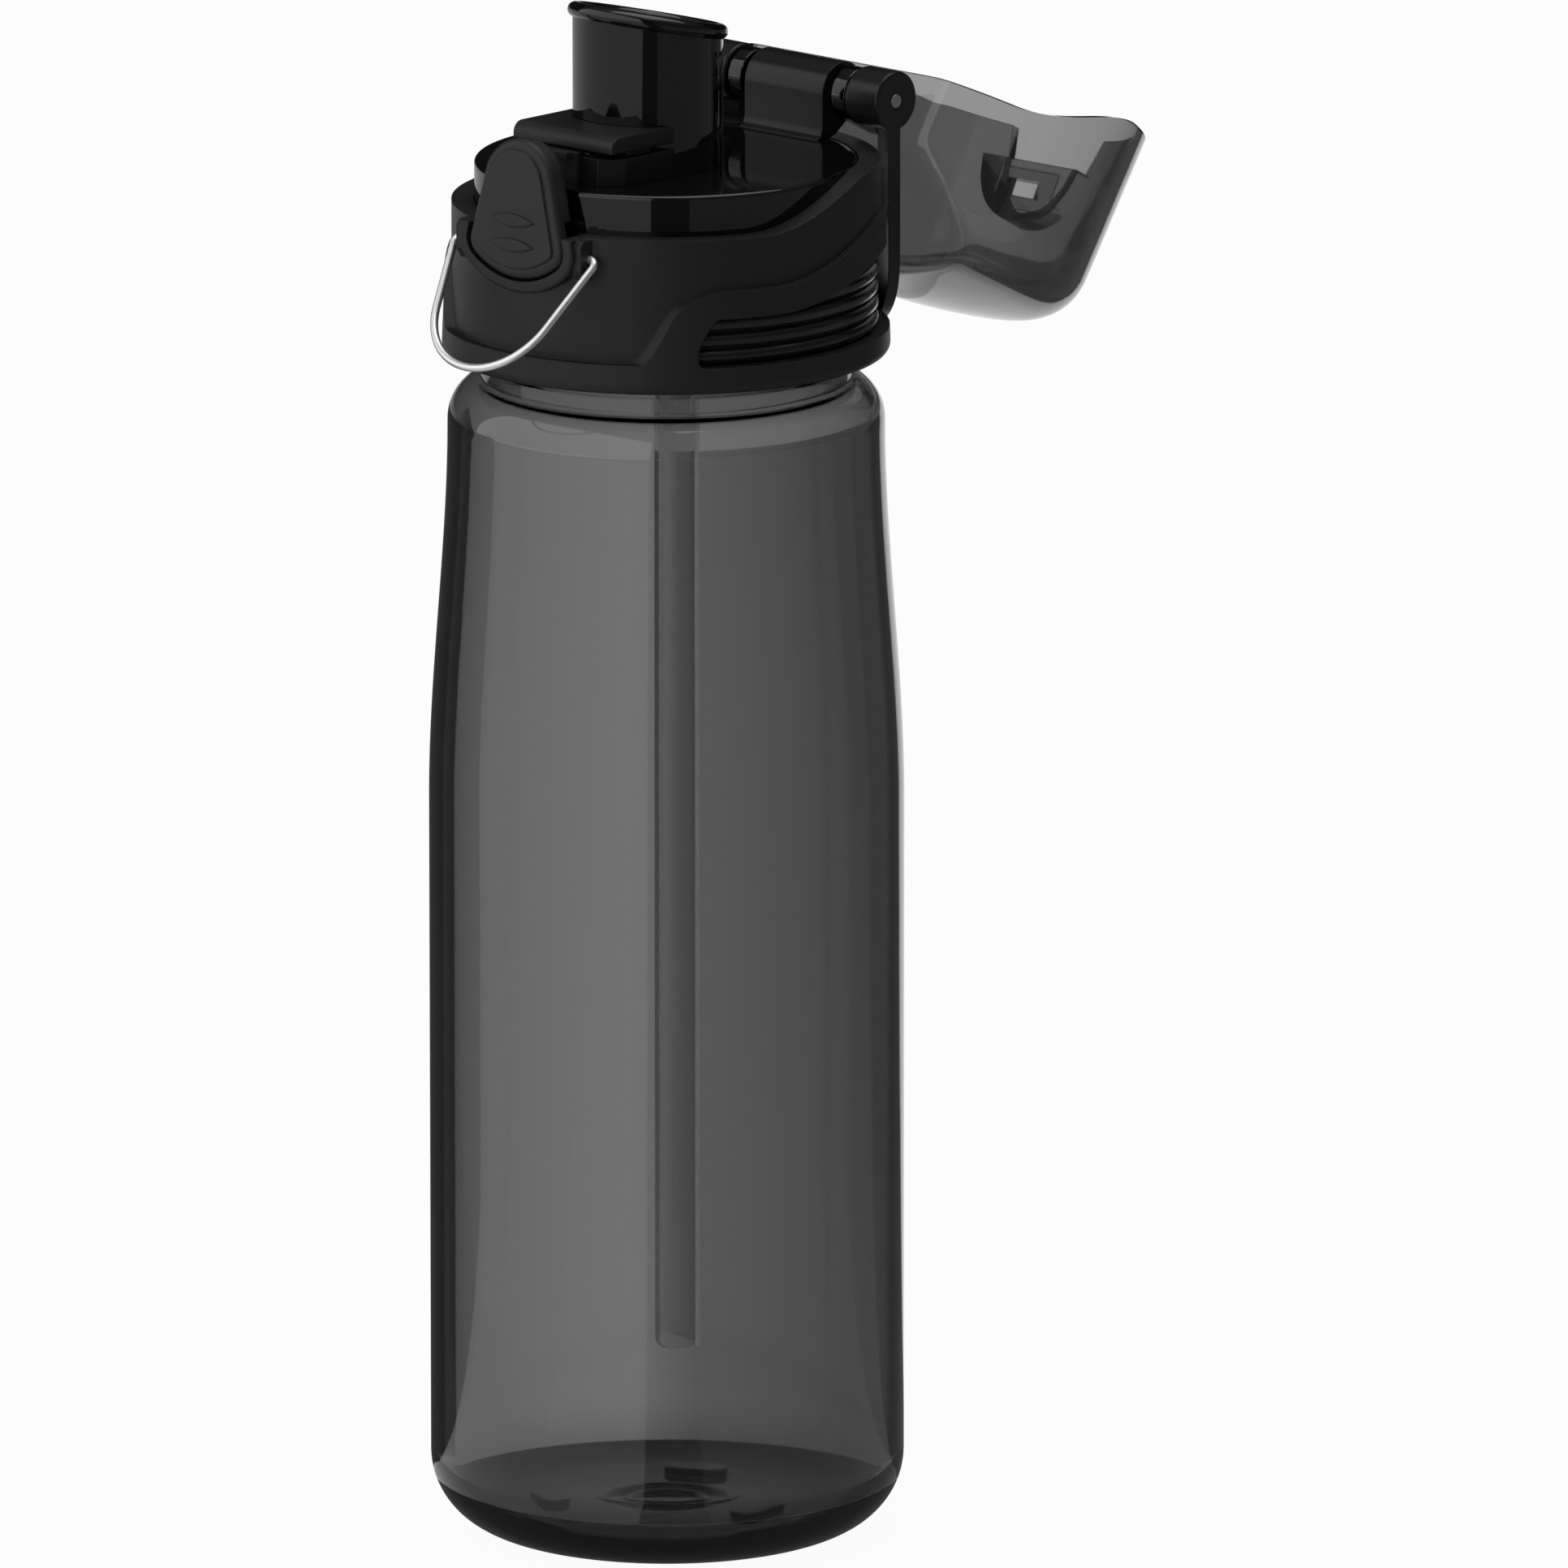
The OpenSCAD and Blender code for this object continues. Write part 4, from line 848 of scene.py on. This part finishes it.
def leaf(name, z):
    """A leaf between two flat arcs."""
    radius = (LEAF_W * LEAF_W / 4 + LEAF_H * LEAF_H / 4) / LEAF_H
    reach = math.degrees(math.asin(LEAF_W / 2 / radius))
    upper = arc((0, z - radius + LEAF_H / 2), radius, 90 - reach, 90 + reach, 14)
    lower = arc((0, z + radius - LEAF_H / 2), radius, 270 - reach, 270 + reach, 14)
    outline = [(x, y + DECK_Z) for x, y in upper + lower[1:-1]]
    return along(name, outline, FACE_Y - LEAF_UP, FACE_Y)


for z in LEAF_ROWS:
    add(button, soften(leaf("grip leaf", z), LEAF_SOFT, 2))
turn_about_x(button, FACE_LEAN, FACE_Y, DECK_Z)
print("grips on the button:", len(LEAF_ROWS))

# %% Stem, hook and nose
STEM_X, STEM_LOW, STEM_TOP = 3.8, -2.3, -0.5
HOOK_FRONT, HOOK_BACK, HOOK_TOP = -23.6, -21.8, 4.8
NOSE_X, NOSE_FRONT, NOSE_BACK, NOSE_LOW = 2.8, -24.9, -22.8, 3.8
for name, x, (y0, y1), (z0, z1) in (
    ("stem", STEM_X, (BACK_Y, HOOK_BACK), (STEM_LOW, STEM_TOP)),
    ("hook", STEM_X, (HOOK_FRONT, HOOK_BACK), (STEM_LOW, HOOK_TOP)),
    ("nose", NOSE_X, (NOSE_FRONT, NOSE_BACK), (NOSE_LOW, HOOK_TOP)),
):
    add(button, box_shape(name, (-x, y0, DECK_Z + z0), (x, y1, DECK_Z + z1)))
finish_piece(button, lit_satin_black, "matte_black", "button", "latch_button")

# %% [markdown]
# ## Spring and bail
# Both are bent from round wire. A centre line is drawn point by point, turned into a curve with a
# round section, and made a mesh again. The spring pushes the button's hook forward, and the bail
# hangs from two lugs below the button.

# %% Spring
def bent_wire(name, points, radius):
    """A round wire through the points."""
    wire = drawn_line(name, points)
    bpy.ops.object.mode_set(mode="OBJECT")
    bpy.ops.object.convert(target="CURVE")
    wire = bpy.context.object
    wire.data.bevel_depth = radius * MM
    wire.data.bevel_resolution = 6
    wire.data.use_fill_caps = True
    bpy.ops.object.convert(target="MESH")
    return bpy.context.object


SPRING_R, SPRING_WIRE_R, SPRING_TURNS, SPRING_STEPS, PRESS = 1.35, 0.25, 4.5, 24, 1.6
spring_low, spring_high = (Vector(corner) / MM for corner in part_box("button_spring"))
spring_z = (spring_low.z + spring_high.z) / 2
front, rear = spring_low.y + SPRING_WIRE_R, spring_high.y - SPRING_WIRE_R
coil = [
    (SPRING_R * math.cos(a), y, spring_z + SPRING_R * math.sin(a))
    for a, y in zip(
        spread(0, math.tau * SPRING_TURNS, int(SPRING_TURNS * SPRING_STEPS)),
        spread(front, rear, int(SPRING_TURNS * SPRING_STEPS)),
    )
]
spring = bent_wire("spring", coil, SPRING_WIRE_R)
finish_piece(spring, bright_wire, "bright_wire", "cap", "button_spring", angle=50)
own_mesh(spring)

# %% Bail
WIRE_R, BAIL_W, BAIL_REACH, BAIL_END_R, BAIL_BEND = 0.625, 14.6, 21.2, 12.0, 1.3
BAIL_TAIL, BAIL_LEAN = 11.6, math.radians(39)
end_c = BAIL_REACH - BAIL_END_R
touch = math.degrees(
    math.atan2(end_c, BAIL_W) - math.acos(BAIL_END_R / math.hypot(BAIL_W, end_c))
)
half = [(BAIL_TAIL, 0)] + arc((BAIL_W - BAIL_BEND, BAIL_BEND), BAIL_BEND, -90, 0, 10)
half += arc((0, end_c), BAIL_END_R, -touch, 90, 40)
flat = half + [(-x, s) for x, s in half[-2::-1]]
bail_path = [
    (x, BAIL_Y - s * math.sin(BAIL_LEAN), BAIL_Z - s * math.cos(BAIL_LEAN)) for x, s in flat
]
bail = bent_wire("bail", bail_path, WIRE_R)
finish_piece(bail, bright_wire, "bright_wire", "bail", "wire_bail", angle=50)

# %% [markdown]
# ## The flip lid
# The lid is a clear dome with a flat, slanted back. It could be cut from a turned dome, but clear
# plastic shows a hard edge as a black line. So its skins are made in one go with all edges rounded:
# a ball is added, and each of its points is pulled out until it lies on the dome or on one of the
# flats. The inner skin is the same, inset by the wall. The lid is drawn shut, over the cap. A
# passage for the button is built into the front, ending in a small wall with the window that the
# button's hook holds. At the end the lid is turned back about the hinge.

# %% Rounded meeting of two skins
def rounded(a, a_out, b, b_out, radius):
    """How far a point is outside two skins, and the way out, with their edge rounded."""
    a, b = a + radius, b + radius
    turn = a_out.dot(b_out)
    a_share, b_share = a - b * turn, b - a * turn
    if a_share > 0 and b_share > 0:
        out = (a_out * a_share + b_out * b_share) / (1 - turn * turn)
        return out.length - radius, out.normalized()
    return (a - radius, a_out) if a > b else (b - radius, b_out)


tried = rounded(0, Vector((1, 0, 0)), 0, Vector((0, 0, 1)), 1)[0]
print("a square edge is cut back by", round(tried, 3), "of its rounding")

# %% Sizes of the lid
LID_R, LID_WALL, LID_CROWN, DOME_R, LID_ROUND = 31.3, 1.6, 29.0, 100.0, 9.0
LID_DRAFT, LID_OPEN = math.radians(4), math.radians(208)
LID_BACK, LID_BACK_H, LID_LEAN, LID_EDGE = 23.8, 11.6, math.radians(43), 4.0
LID_FOOT, LID_HEART = -11.0, Vector((0, 0, 8))
LID_STEPS, LID_HALVINGS, LID_SMOOTHING, LID_EVENING = 240, 22, 10, 0.5
DOME_C = LID_CROWN - DOME_R
LID_TAPER = math.tan(LID_DRAFT)
ROUND_START = LID_R - LID_ROUND / math.cos(LID_DRAFT)
square, linear = 1 + LID_TAPER * LID_TAPER, -2 * ROUND_START * LID_TAPER - 2 * DOME_C
constant = ROUND_START**2 + DOME_C**2 - (DOME_R - LID_ROUND) ** 2
ROUND_Z = (-linear + math.sqrt(linear * linear - 4 * square * constant)) / (2 * square)
ROUND_R = ROUND_START - LID_TAPER * ROUND_Z
ROUND_END = math.atan2(ROUND_Z - DOME_C, ROUND_R)
print("the dome's round edge lies", round(ROUND_Z, 2), "mm above the deck")


# %% The lid's skins
def dome_depth(p):
    """How far a point is outside the turned dome, and the way out."""
    q = math.hypot(p.x, p.y)
    angle = math.atan2(p.z - ROUND_Z, q - ROUND_R)
    if angle < LID_DRAFT:
        r, z = math.cos(LID_DRAFT), math.sin(LID_DRAFT)
        depth = (q - LID_R) * r + p.z * z
    elif angle > ROUND_END:
        reach = math.hypot(q, p.z - DOME_C)
        r, z, depth = q / reach, (p.z - DOME_C) / reach, reach - DOME_R
    else:
        reach = math.hypot(q - ROUND_R, p.z - ROUND_Z)
        r, z, depth = math.cos(angle), math.sin(angle), reach - LID_ROUND
    return depth, Vector((r * p.x / q, r * p.y / q, z)) if q else Vector((0, 0, 1))


def lid_depth(p):
    """How far a point is outside the dome with its flat back and the slanted part above it."""
    back_out = Vector((0, 1, 0))
    slant_out = Vector((0, math.cos(LID_LEAN), math.sin(LID_LEAN)))
    slant = slant_out.dot(p - Vector((0, LID_BACK, LID_BACK_H)))
    flats = rounded(p.y - LID_BACK, back_out, slant, slant_out, LID_EDGE)
    return max(rounded(*dome_depth(p), *flats, LID_EDGE)[0], LID_FOOT - p.z)


def lid_skin(name, inset):
    """A ball whose points are pulled out onto the lid's skin, or onto one inset by the wall."""
    to_object_mode()
    bpy.ops.mesh.primitive_uv_sphere_add(segments=LID_STEPS, ring_count=LID_STEPS // 2, radius=MM)
    skin = bpy.context.object
    skin.name = skin.data.name = name
    for vertex in skin.data.vertices:
        way, near, far = vertex.co.normalized(), 0.0, FAR
        for _ in range(LID_HALVINGS):
            middle = (near + far) / 2
            outside = lid_depth(LID_HEART + way * middle) > -inset
            near, far = (near, middle) if outside else (middle, far)
        vertex.co = (LID_HEART + way * near + Vector((0, 0, DECK_Z))) * MM
    even = skin.modifiers.new("even skin", "SMOOTH")
    even.factor, even.iterations = LID_EVENING, LID_SMOOTHING
    bpy.ops.object.modifier_apply(modifier=even.name)
    return skin


lid = lid_skin("lid", 0)
cut(lid, lid_skin("hollow", LID_WALL))
print("lid drawn shut, crown at", DECK_Z + LID_CROWN)

# %% Passage and catch
CATCH_Y, TUNNEL_GAP, TUNNEL_FOOT = -24.0, 0.8, DECK_Z + 0.4
FRAME_X, FRAME_FRONT, FRAME_BACK, FRAME_SOFT = 6, CATCH_Y - 2.1, CATCH_Y - 0.8, 0.2
FRAME_LOW, FRAME_TOP = DECK_Z + 1.45, DECK_Z + 8.15
CATCH_X, CATCH_LOW, CATCH_TOP, RIM_GAP = 3.2, DECK_Z + 3.4, DECK_Z + 6.2, 0.5
passage = along("passage", arch_outline(TUNNEL_GAP + LID_WALL), -FAR, CATCH_Y)
keep(passage, box_shape("above the deck", (-FAR, -FAR, TUNNEL_FOOT), (FAR, FAR, DECK_Z + FAR)))
keep(passage, lid_skin("passage limit", LID_WALL / 2))
add(lid, passage)
cut(lid, along("button way", arch_outline(TUNNEL_GAP), -FAR, CATCH_Y - LID_WALL))
frame_low, frame_high = (-FRAME_X, FRAME_FRONT, FRAME_LOW), (FRAME_X, FRAME_BACK, FRAME_TOP)
catch_frame = box_shape("catch frame", frame_low, frame_high)
keep(catch_frame, along("frame limit", arch_outline(TUNNEL_GAP + LID_WALL / 2), -FAR, 0))
add(lid, soften(catch_frame, FRAME_SOFT, 2))
cut(lid, box_shape("catch window", (-CATCH_X, -FAR, CATCH_LOW), (CATCH_X, 0, CATCH_TOP)))
cut(lid, under_curve("rim", ledge_at, LEDGE_START, LEDGE_END, RIM_GAP))
print("catch window from", CATCH_LOW, "to", CATCH_TOP)

# %% Arms
LID_KNUCKLE_R, PIN_WAY = 4.2, 1.21
ARM_IN, ARM_OUT, ARM_ROOT, ARM_SOFT = 9.4, 12.3, LID_BACK - 0.8, 0.3
ARM_LOW, ARM_TOP = HINGE_Z - 3.8, HINGE_Z + 4.1
arm_outline = (
    [(ARM_ROOT, ARM_LOW)]
    + arc((HINGE_Y, HINGE_Z), LID_KNUCKLE_R, -90, 90, 24)
    + [(ARM_ROOT, ARM_TOP)]
)
for s in (-1, 1):
    arm = across("arm", arm_outline, *sorted((s * ARM_IN, s * ARM_OUT)))
    add(lid, soften(arm, ARM_SOFT, 2))
cut(lid, rod("pin way", PIN_WAY, 20, HINGE_Y, HINGE_Z))
print("lid faces:", len(lid.data.polygons))

# %% Turn it open
turn_about_x(lid, LID_OPEN, HINGE_Y, HINGE_Z)
finish_piece(lid, smoke_lid, "smoke_plastic", "lid", "flip_lid", angle=60)

# %% [markdown]
# ## Loop and pin
# The carry loop is a strap bent round the collar. A ring of the strap's thickness is turned, and
# only what lies inside the strap's flat outline is kept. Two knuckles take the hinge pin, whose
# slightly domed ends show as bright dots.

# %% Carry loop
LOOP_IN, LOOP_OUT, LOOP_X, LOOP_LEG = 34.9, 37.1, 19.4, 4.8
LOOP_L, LOOP_BAR, LOOP_CORNER, LOOP_SOFT = 37.5, 5.0, 13.0, 0.55
KNUCKLE_IN, KNUCKLE_SOFT, OVER = 12.6, 0.5, 1


def strap_outline(x, foot, corner, top):
    """Two straight legs joined by a foot with round corners."""
    right_leg = [(x, top)] + arc((x - corner, foot + corner), corner, 0, -90, 16)
    left_leg = arc((-x + corner, foot + corner), corner, 270, 180, 16) + [(-x, top)]
    return right_leg + left_leg


foot_z = HINGE_Z - LOOP_L
strap = strap_outline(LOOP_X, foot_z, LOOP_CORNER, HINGE_Z)
opening = strap_outline(
    LOOP_X - LOOP_LEG, foot_z + LOOP_BAR, LOOP_CORNER - LOOP_LEG, HINGE_Z + OVER
)
loop = tube_between("loop", LOOP_IN, LOOP_OUT, foot_z - OVER, HINGE_Z, FINE_STEPS)
keep(loop, along("strap", strap, 0, FAR))
cut(loop, along("strap opening", opening, 0, FAR))
soften(loop, LOOP_SOFT, 3, 40)
for s in (-1, 1):
    ring = round_points((HINGE_Y, HINGE_Z), KNUCKLE_R, 48)
    knuckle = across("knuckle", ring, *sorted((s * KNUCKLE_IN, s * LOOP_X)))
    add(loop, soften(knuckle, KNUCKLE_SOFT, 3))
cut(loop, rod("pin way", PIN_WAY, 22, HINGE_Y, HINGE_Z))
finish_piece(loop, moulded_black, "matte_black", "loop", "carry_loop", angle=40)

# %% Hinge pin
PIN_R, PIN_X, PIN_SOFT = 1.15, 19.5, 0.3
pin = rod("pin", PIN_R, PIN_X, HINGE_Y, HINGE_Z)
# Its darker steel is painted shade.
finish_piece(soften(pin, PIN_SOFT, 3), shaded_pin_steel, "bright_wire", "cap", "hinge_pin")

# %% [markdown]
# ## Pieces whose solids are already right
# Gasket, straw, its socket, the vent and the pad under the lid are plain turned shapes. They could
# be turned again, but nothing would be gained: their solids stay and only get their finish.

# %% Finishes for the kept solids
for node in ("neck_gasket", "straw_socket", "vent_valve", "lid_seal"):
    refinish(node, silicone)
refinish("straw", smoke_straw)

# %% [markdown]
# ## Floor and surroundings
# The bottle stands on a plain white floor that fills the picture. A plain white world would do, but
# then no shadow would fall. So the floor's own white is shown to the camera and to rays that come
# through clear plastic, and a share of plain paper keeps the bottle's shadow on it. For all other
# rays the world is dim and only grows brighter overhead, so that black plastic stays black.

# %% Rays that see plain white
def white_rays(nodes, links):
    """One for rays from the camera and for those that come through clear plastic."""
    rays = nodes.new("ShaderNodeLightPath")
    either = nodes.new("ShaderNodeMath")
    either.operation = "MAXIMUM"
    links.new(rays.outputs["Is Camera Ray"], either.inputs[0])
    links.new(rays.outputs["Is Transmission Ray"], either.inputs[1])
    return either.outputs["Value"]


print("camera and clear plastic see plain white")

# %% Floor
PAPER_SIZE, PAPER_Z, PAPER_GREY, WHITE_SHARE = 14, -0.0004, 0.9, 0.95
to_object_mode()
bpy.ops.mesh.primitive_plane_add(size=PAPER_SIZE, location=(0, 0, PAPER_Z))
floor = bpy.context.object
floor.name = "floor"
paper = bpy.data.materials.new("paper")
paper.use_nodes = True
p_nodes, p_links = paper.node_tree.nodes, paper.node_tree.links
paper_skin = p_nodes["Principled BSDF"]
paper_skin.inputs["Base Color"].default_value = (PAPER_GREY, PAPER_GREY, PAPER_GREY, 1)
paper_skin.inputs["Roughness"].default_value = 1
paper_skin.inputs["Specular IOR Level"].default_value = 0
paper_white = p_nodes.new("ShaderNodeEmission")
paper_seen = p_nodes.new("ShaderNodeMixShader")
paper_share = p_nodes.new("ShaderNodeMath")
paper_share.operation = "MULTIPLY"
paper_share.inputs[1].default_value = WHITE_SHARE
p_links.new(white_rays(p_nodes, p_links), paper_share.inputs[0])
p_links.new(paper_share.outputs["Value"], paper_seen.inputs["Fac"])
p_links.new(paper_skin.outputs["BSDF"], paper_seen.inputs[1])
p_links.new(paper_white.outputs["Emission"], paper_seen.inputs[2])
p_links.new(paper_seen.outputs["Shader"], p_nodes["Material Output"].inputs["Surface"])
floor.data.materials.append(paper)
print("floor of", PAPER_SIZE, "m")

# %% World
SKY_START, SKY_LOW, SKY_HIGH = 0.5, 0.01, 0.3
scene = bpy.context.scene
scene.view_settings.view_transform = "Standard"
world = bpy.data.worlds.new("studio")
scene.world = world
world.use_nodes = True
w_nodes, w_links = world.node_tree.nodes, world.node_tree.links
dim = w_nodes["Background"]
dim.inputs["Color"].default_value = (1, 1, 1, 1)
white = w_nodes.new("ShaderNodeBackground")
white.inputs["Color"].default_value = (1, 1, 1, 1)
choose = w_nodes.new("ShaderNodeMixShader")
w_links.new(white_rays(w_nodes, w_links), choose.inputs["Fac"])
w_links.new(dim.outputs["Background"], choose.inputs[1])
w_links.new(white.outputs["Background"], choose.inputs[2])
w_links.new(choose.outputs["Shader"], w_nodes["World Output"].inputs["Surface"])
sky = w_nodes.new("ShaderNodeTexCoord")
parts = w_nodes.new("ShaderNodeSeparateXYZ")
brighter = w_nodes.new("ShaderNodeMapRange")
brighter.inputs["From Min"].default_value = SKY_START
brighter.inputs["To Min"].default_value = SKY_LOW
brighter.inputs["To Max"].default_value = SKY_HIGH
w_links.new(sky.outputs["Generated"], parts.inputs["Vector"])
w_links.new(parts.outputs["Z"], brighter.inputs["Value"])
w_links.new(brighter.outputs["Result"], dim.inputs["Strength"])
print("world from", SKY_LOW, "up to", SKY_HIGH)

# %% [markdown]
# ## Painted shade and reflections for clear and glossy plastic
# Clear plastic only reads as plastic when it has something dark to bend, and gloss when it has
# something to mirror. Two dark glowing cards stand close behind the bottle, left and right, and
# paint shade there as a photographer's black flags would, and a dark glowing disc under it is a
# painted shadow: they show as the dark edges of the clear parts. Light and dark glowing sectors
# over the floor are painted reflections that give the gloss its stripes, and a glowing strip behind
# the bottle paints shade that grows darker towards the right. All are hidden from the camera itself
# and cast no shadow. They are placed as the camera sees them, so its directions come first.

# %% Viewing direction
AZIMUTH, ELEVATION, DISTANCE = math.radians(43.5), math.radians(13.03), 4.0
back = Vector(
    (
        math.sin(AZIMUTH) * math.cos(ELEVATION),
        -math.cos(AZIMUTH) * math.cos(ELEVATION),
        math.sin(ELEVATION),
    )
)
right = Vector((math.cos(AZIMUTH), math.sin(AZIMUTH), 0))
above = back.cross(right)
behind = Vector((-math.sin(AZIMUTH), math.cos(AZIMUTH), 0))
print("camera looks along", tuple(round(v, 3) for v in -back))


# %% Dark cards of painted shade
def painted_light_card(name, corners, grey, mirrored=True, through=True):
    """A flat glowing card of painted light or shade, from (right, behind, up) in millimetres, as
    the camera sees them.
    """
    up = Vector((0, 0, 1))
    card = drawn_line(name, [right * u + behind * v + up * w for u, v, w in corners])
    bpy.ops.mesh.select_all(action="SELECT")
    bpy.ops.mesh.edge_face_add()
    bpy.ops.object.mode_set(mode="OBJECT")
    board = bpy.data.materials.new(name)
    board.use_nodes = True
    nodes, links = board.node_tree.nodes, board.node_tree.links
    glow = nodes.new("ShaderNodeEmission")
    glow.inputs["Color"].default_value = (grey, grey, grey, 1)
    links.new(glow.outputs["Emission"], nodes["Material Output"].inputs["Surface"])
    card.data.materials.append(board)
    card.visible_camera = False
    card.visible_diffuse = False
    card.visible_glossy = mirrored
    card.visible_transmission = through
    card.visible_shadow = False
    print(name, "grey", grey)
    return glow, nodes, links


CARD_V, CARD_TOP, CARD_FAR, SLANT_Z, SLANT = 30.0, 172.0, 250.0, 110.0, 2.8
UNDER_R, UNDER_Z = 44.5, -0.2
# The two upright cards are painted shade, seen at the clear plastic's edges and, at the left, in
# the gloss.
for name, sign, edge, grey in (("left_shade_card", -1, 39.0, 0.06), ("right_shade_card", 1, 45.0, 0.08)):
    outline = [(edge, 0), (CARD_FAR, 0), (CARD_FAR, CARD_TOP)]
    outline += [(edge - SLANT, CARD_TOP), (edge, SLANT_Z)]
    painted_light_card(name, [(sign * u, CARD_V, w) for u, w in outline], grey, mirrored=sign < 0)
# The dark disc under the bottle is a painted shadow, seen through the clear base.
painted_light_card("painted_shadow_disc", [(u, v, UNDER_Z) for u, v in round_points((0, 0), UNDER_R, 60)], 0.09)

# %% Painted reflections: light and dark sectors in the gloss
SECTOR_IN, SECTOR_OUT, SECTOR_Z = 45.0, 2500.0, -0.15


def sector(name, start, end, grey):
    """A painted reflection: a glowing sector over the floor, seen only in reflections, in degrees
    from the camera to the right.
    """
    angles = [math.radians(a) for a in spread(start, end, 12)]
    rim = [(SECTOR_OUT * math.sin(a), -SECTOR_OUT * math.cos(a)) for a in angles]
    hub = [(u * SECTOR_IN / SECTOR_OUT, v * SECTOR_IN / SECTOR_OUT) for u, v in rim[::-1]]
    painted_light_card(name, [(u, v, SECTOR_Z) for u, v in rim + hub], grey, through=False)


# The left and rim sectors paint the reflection of lit paper; the gap, dim and dark sectors paint
# shade.
sector("left_sector", -113, -9, 0.55)
sector("gap_sector", -9, 14, 0.05)
sector("dim_sector", 14, 113, 0.2)
sector("dark_sector", 113, 150, 0.1)
sector("rim_sector", 152, 178, 0.9)

# %% Painted shade on the floor's right side
VEIL_Z, VEIL_CORNERS = -0.25, ((-20, 20), (60, 20), (330, 800), (-20, 800))
SHADE_START, SHADE_END = -0.02, 0.1
TONES = ((0.12, 1.0), (0.22, 0.58), (0.9, 0.3))
veil_glow, v_nodes, v_links = painted_light_card(
    "right_side_painted_shade", [(u, v, VEIL_Z) for u, v in VEIL_CORNERS], 1.0
)
# The strip glows white at the left and darker towards the right: painted shade, seen in reflections
# and through clear plastic.
place = v_nodes.new("ShaderNodeTexCoord")
sideways = v_nodes.new("ShaderNodeVectorMath")
sideways.operation = "DOT_PRODUCT"
sideways.inputs[1].default_value = right
shade = v_nodes.new("ShaderNodeMapRange")
shade.inputs["From Min"].default_value = SHADE_START
shade.inputs["From Max"].default_value = SHADE_END
tone = v_nodes.new("ShaderNodeValToRGB")
tone.color_ramp.elements.new(TONES[1][0])
for stop, (position, grey) in zip(tone.color_ramp.elements, TONES):
    stop.position = position
    stop.color = (grey, grey, grey, 1)
v_links.new(place.outputs["Object"], sideways.inputs[0])
v_links.new(sideways.outputs["Value"], shade.inputs["Value"])
v_links.new(shade.outputs["Result"], tone.inputs["Fac"])
v_links.new(tone.outputs["Color"], veil_glow.inputs["Color"])
print("floor shaded towards the right")

# %% [markdown]
# ## Lamps and camera
# Soft light comes from two upright walls of light, a strong one at the left and a weak one at the
# right, and from a square sheet overhead. Neither the camera nor the clear plastic sees them, so
# they only show as highlights. The camera stands far away with a long lens, as for a product
# picture, which keeps upright edges nearly parallel.


# %% Lamps
def soft_lamp(name, place, aim, size, watts):
    """A sheet of light at a place, turned towards its aim."""
    to_object_mode()
    bpy.ops.object.light_add(type="AREA", location=place)
    lamp = bpy.context.object
    lamp.name = name
    lamp.data.shape = "RECTANGLE"
    lamp.data.size, lamp.data.size_y = size
    lamp.data.energy = watts
    lamp.rotation_mode = "QUATERNION"
    lamp.rotation_quaternion = (Vector(aim) - Vector(place)).to_track_quat("-Z", "Y")
    lamp.visible_camera = False
    lamp.visible_transmission = False
    print(name, watts, "W")


def wall_of_light(name, hand, watts):
    """An upright sheet of light, to the camera's left (-1) or right (1) by the wall's angle."""
    angle = math.radians(WALL_ANGLE)
    towards = -behind * math.cos(angle) + right * hand * math.sin(angle)
    place = towards * WALL_DISTANCE + Vector((0, 0, WALL_MIDDLE))
    soft_lamp(name, place, (0, 0, WALL_MIDDLE), WALL_SIZE, watts)


WALL_ANGLE, WALL_DISTANCE, WALL_MIDDLE, WALL_SIZE = 63, 1.5, 1.15, (4.2, 2.2)
wall_of_light("key", -1, 34)
wall_of_light("fill", 1, 2)
soft_lamp("top", (0.0, 0.3, 1.9), (0, 0, 0.13), (1.6, 1.6), 14)

# %% Camera
LOOK_Z, SHIFT_RIGHT, SHIFT_DOWN = 0.12, 0.018, 0.00308
SENSOR, LENS, CLIP_END = 36, 598.5, 40
middle = Vector((0, 0, LOOK_Z))
looked_at = middle + right * SHIFT_RIGHT - above * SHIFT_DOWN
to_object_mode()
bpy.ops.object.camera_add(location=middle + back * DISTANCE)
camera = bpy.context.object
camera.rotation_mode = "QUATERNION"
camera.rotation_quaternion = (looked_at - camera.location).to_track_quat("-Z", "Y")
camera.data.sensor_width = SENSOR
camera.data.lens = LENS
camera.data.clip_end = CLIP_END
scene.camera = camera
print("camera at", tuple(round(v, 3) for v in camera.location))
